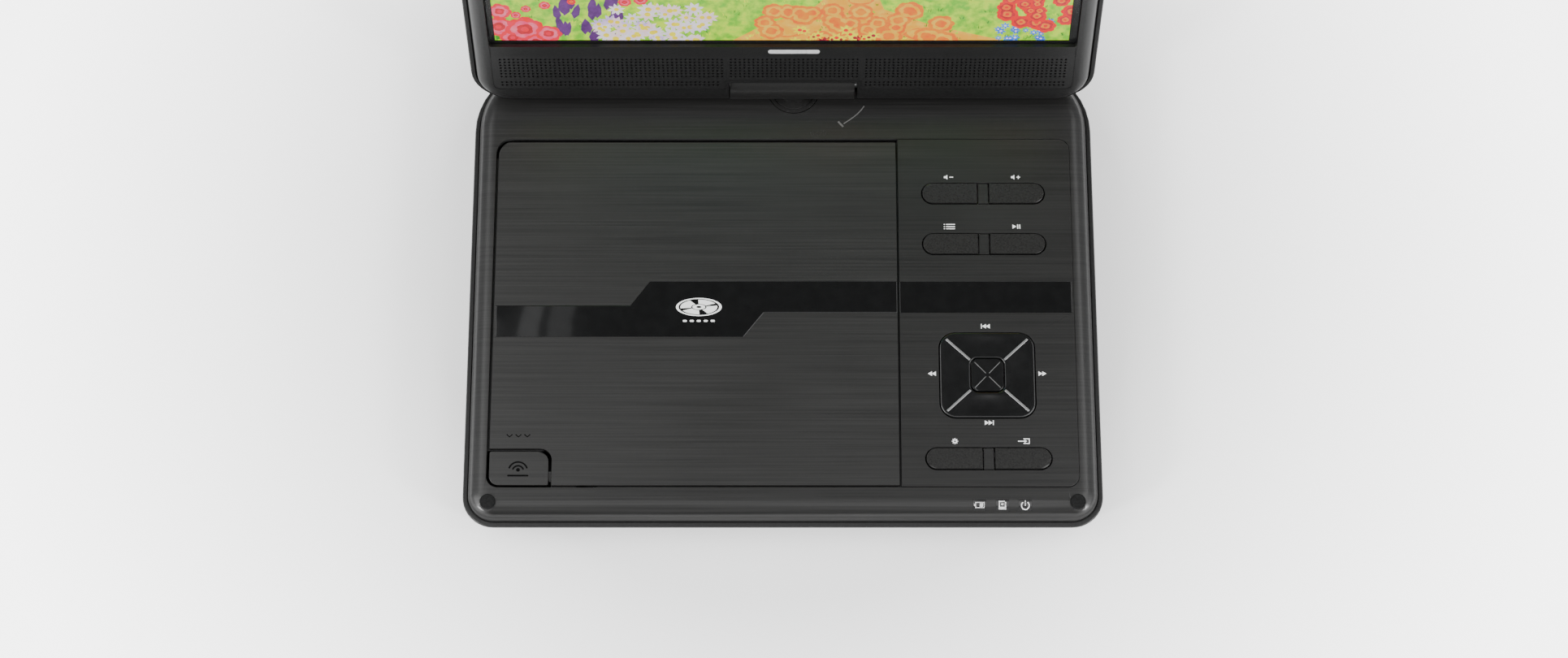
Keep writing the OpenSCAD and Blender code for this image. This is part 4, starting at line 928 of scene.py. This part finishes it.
for k in range(24):
    x, y = random.uniform(0, 60), random.uniform(14, 50)
    rose(x, y, random.uniform(1.6, 3.0), random.choice((PINK_ROSE, RED_ROSE)), 0.06 + 0.0008 * k)
for k in range(40):
    x, y = random.uniform(60, W), random.uniform(24, 58)
    daisy(x, y, 2.4 - y / 45, random.choice(("white", "gold", "rose_light", "blue")), "gold",
          0.04 + 0.0006 * k, 6)
picture = new_piece("picture", pic, "lid", "display_module",
                    picture_material("lawn", *PALETTE["lawn"]), LID)
for name in names[1:]:
    picture.data.materials.append(picture_material(name, *PALETTE[name]))


# ---------------------------------------------------------------- loader details

def hub_claws():
    """Three spring claws round the hub, which hold a disc."""
    half_width = 1.1
    bm = bmesh.new()
    lo_, hi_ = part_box("disc_hub")
    cx_, cy_ = (lo_.x + hi_.x) / 2 / MM, ((lo_.y + hi_.y) / 2 - FRONT) / MM
    z = hi_.z / MM
    for k in range(3):
        a = math.radians(90 + 120 * k)
        c, s_ = math.cos(a), math.sin(a)
        profile = [(4.2, z - 0.45), (7.0, z - 0.75), (7.9, z - 1.35), (7.75, z - 1.8), (6.8, z - 1.75)]
        sides = []
        for t in (-half_width, half_width):
            sides.append([bm.verts.new(((cx_ + c * r - s_ * t) * MM, (cy_ + s_ * r + c * t) * MM,
                                        h * MM)) for r, h in profile])
        n = len(profile)
        bm.faces.new(sides[0])
        bm.faces.new(sides[1][::-1])
        for i in range(n):
            j = (i + 1) % n
            bm.faces.new((sides[0][i], sides[1][i], sides[1][j], sides[0][j]))
    new_piece("hub_claws", bm, "spindle", "hub_plastic", mats["silicone"], BASE, 0.00012)


hub_claws()


# ---------------------------------------------------------------- camera, lights, floor

CAMERA_PLACE = (0.00045, -0.42367, 1.14943)
CAMERA_PITCH = 18.9      # degrees from straight down
CAMERA_LENS = 70.45
CARD_Z = 1.2             # height of the cards that face straight down

camera = bpy.data.cameras.new("camera")
camera.sensor_width = 36
camera.lens = CAMERA_LENS
camera.clip_start = 0.05
camera.clip_end = 20
camera_obj = bpy.data.objects.new("camera", camera)
camera_obj.location = CAMERA_PLACE
camera_obj.rotation_euler = (math.radians(CAMERA_PITCH), 0, 0)
bpy.context.scene.collection.objects.link(camera_obj)
bpy.context.scene.camera = camera_obj


def area_light(name, place, target, w, h, power):
    light = bpy.data.lights.new(name, "AREA")
    light.shape = "RECTANGLE"
    light.size, light.size_y = w, h
    light.energy = power
    obj = bpy.data.objects.new(name, light)
    obj.location = place
    obj.rotation_euler = (Vector(target) - Vector(place)).to_track_quat("-Z", "Y").to_euler()
    bpy.context.scene.collection.objects.link(obj)


# lamps at the sides and the front, turned to the object
for name, place, w, h, power in (
        ("left_box", (-1.4, -0.3, 1.3), 0.9, 1.3, 16),
        ("right_box", (1.4, -0.3, 1.3), 0.9, 1.3, 7.5),
        ("left_spark", (-1.3, -1.0, 0.9), 0.3, 0.3, 26),
        ("right_spark", (1.3, -1.0, 0.9), 0.3, 0.3, 22),
        ("front_strip", (0, -0.95, 1.3), 1.2, 0.8, 1.5)):
    area_light(name, place, (0, 0, 0), w, h, power)
# cards overhead that show in the deck; the last two are the bands in the stripe's left end
for name, x, y, w, h, power in (
        ("left_card", -0.54, -0.06, 0.61, 0.9, 3.4),
        ("right_card", 0.58, -0.16, 0.5, 0.72, 3.4),
        ("left_edge", -0.75, 0.48, 0.35, 0.4, 1.5),
        ("right_edge", 0.75, 0.42, 0.35, 0.5, 1.9),
        ("mid_card", 0.05, -0.12, 0.74, 0.5, 1.7),
        ("band_card", -0.2045, 0.378, 0.017, 0.16, 0.0066),
        ("thin_card", -0.179, 0.378, 0.02, 0.16, 0.005)):
    area_light(name, (x, y, CARD_Z), (x, y, 0), w, h, power)

# A cool world that brightens to the left and right
world = bpy.data.worlds.new("world")
bpy.context.scene.world = world
world.use_nodes = True
wt = world.node_tree
coord = wt.nodes.new("ShaderNodeTexCoord")
parts = wt.nodes.new("ShaderNodeSeparateXYZ")
side = wt.nodes.new("ShaderNodeMath")
side.operation = "ABSOLUTE"
wt.links.new(coord.outputs["Generated"], parts.inputs[0])
wt.links.new(parts.outputs["X"], side.inputs[0])
glow = ramp(wt, side.outputs[0], 0.3, 0.95, 0.08, 0.9)
wt.links.new(glow, wt.nodes["Background"].inputs[1])
wt.nodes["Background"].inputs[0].default_value = (0.97, 0.985, 1.0, 1)


def floor_material():
    """White paper that glows in a ring round the object and fades far out; the glow is weaker close to the object,
    a painted shadow round it.
    """
    m, tree, shader = material("floor_paper_painted_shadow")
    coords = tree.nodes.new("ShaderNodeTexCoord")
    length = tree.nodes.new("ShaderNodeVectorMath")
    length.operation = "LENGTH"
    tree.links.new(coords.outputs["Object"], length.inputs[0])
    # painted shadow: the glow falls from 3.6 to 0.5 towards the object
    near = ramp(tree, length.outputs["Value"], 0.14, 0.32, 0.5, 3.6)
    far_off = ramp(tree, length.outputs["Value"], 0.4, 1.0, 1.0, 0.15)
    product = tree.nodes.new("ShaderNodeMath")
    product.operation = "MULTIPLY"
    tree.links.new(near, product.inputs[0])
    tree.links.new(far_off, product.inputs[1])
    tree.links.new(product.outputs[0], shader.inputs["Emission Strength"])
    fine = noise(tree, 40, 3)
    tree.links.new(mix_colour(tree, fine, grey(0.86), grey(0.88)), shader.inputs["Base Color"])
    shader.inputs["Emission Color"].default_value = (1, 1, 1, 1)
    shader.inputs["Roughness"].default_value = 0.8
    return m


FLOOR_HALF = 6           # metres from the middle to the edge
floor_bm = bmesh.new()
bmesh.ops.create_grid(floor_bm, x_segments=2, y_segments=2, size=FLOOR_HALF)
floor_mesh = bpy.data.meshes.new("floor")
floor_bm.to_mesh(floor_mesh)
floor_bm.free()
floor = bpy.data.objects.new("floor", floor_mesh)
bpy.context.scene.collection.objects.link(floor)
floor_mesh.materials.append(floor_material())
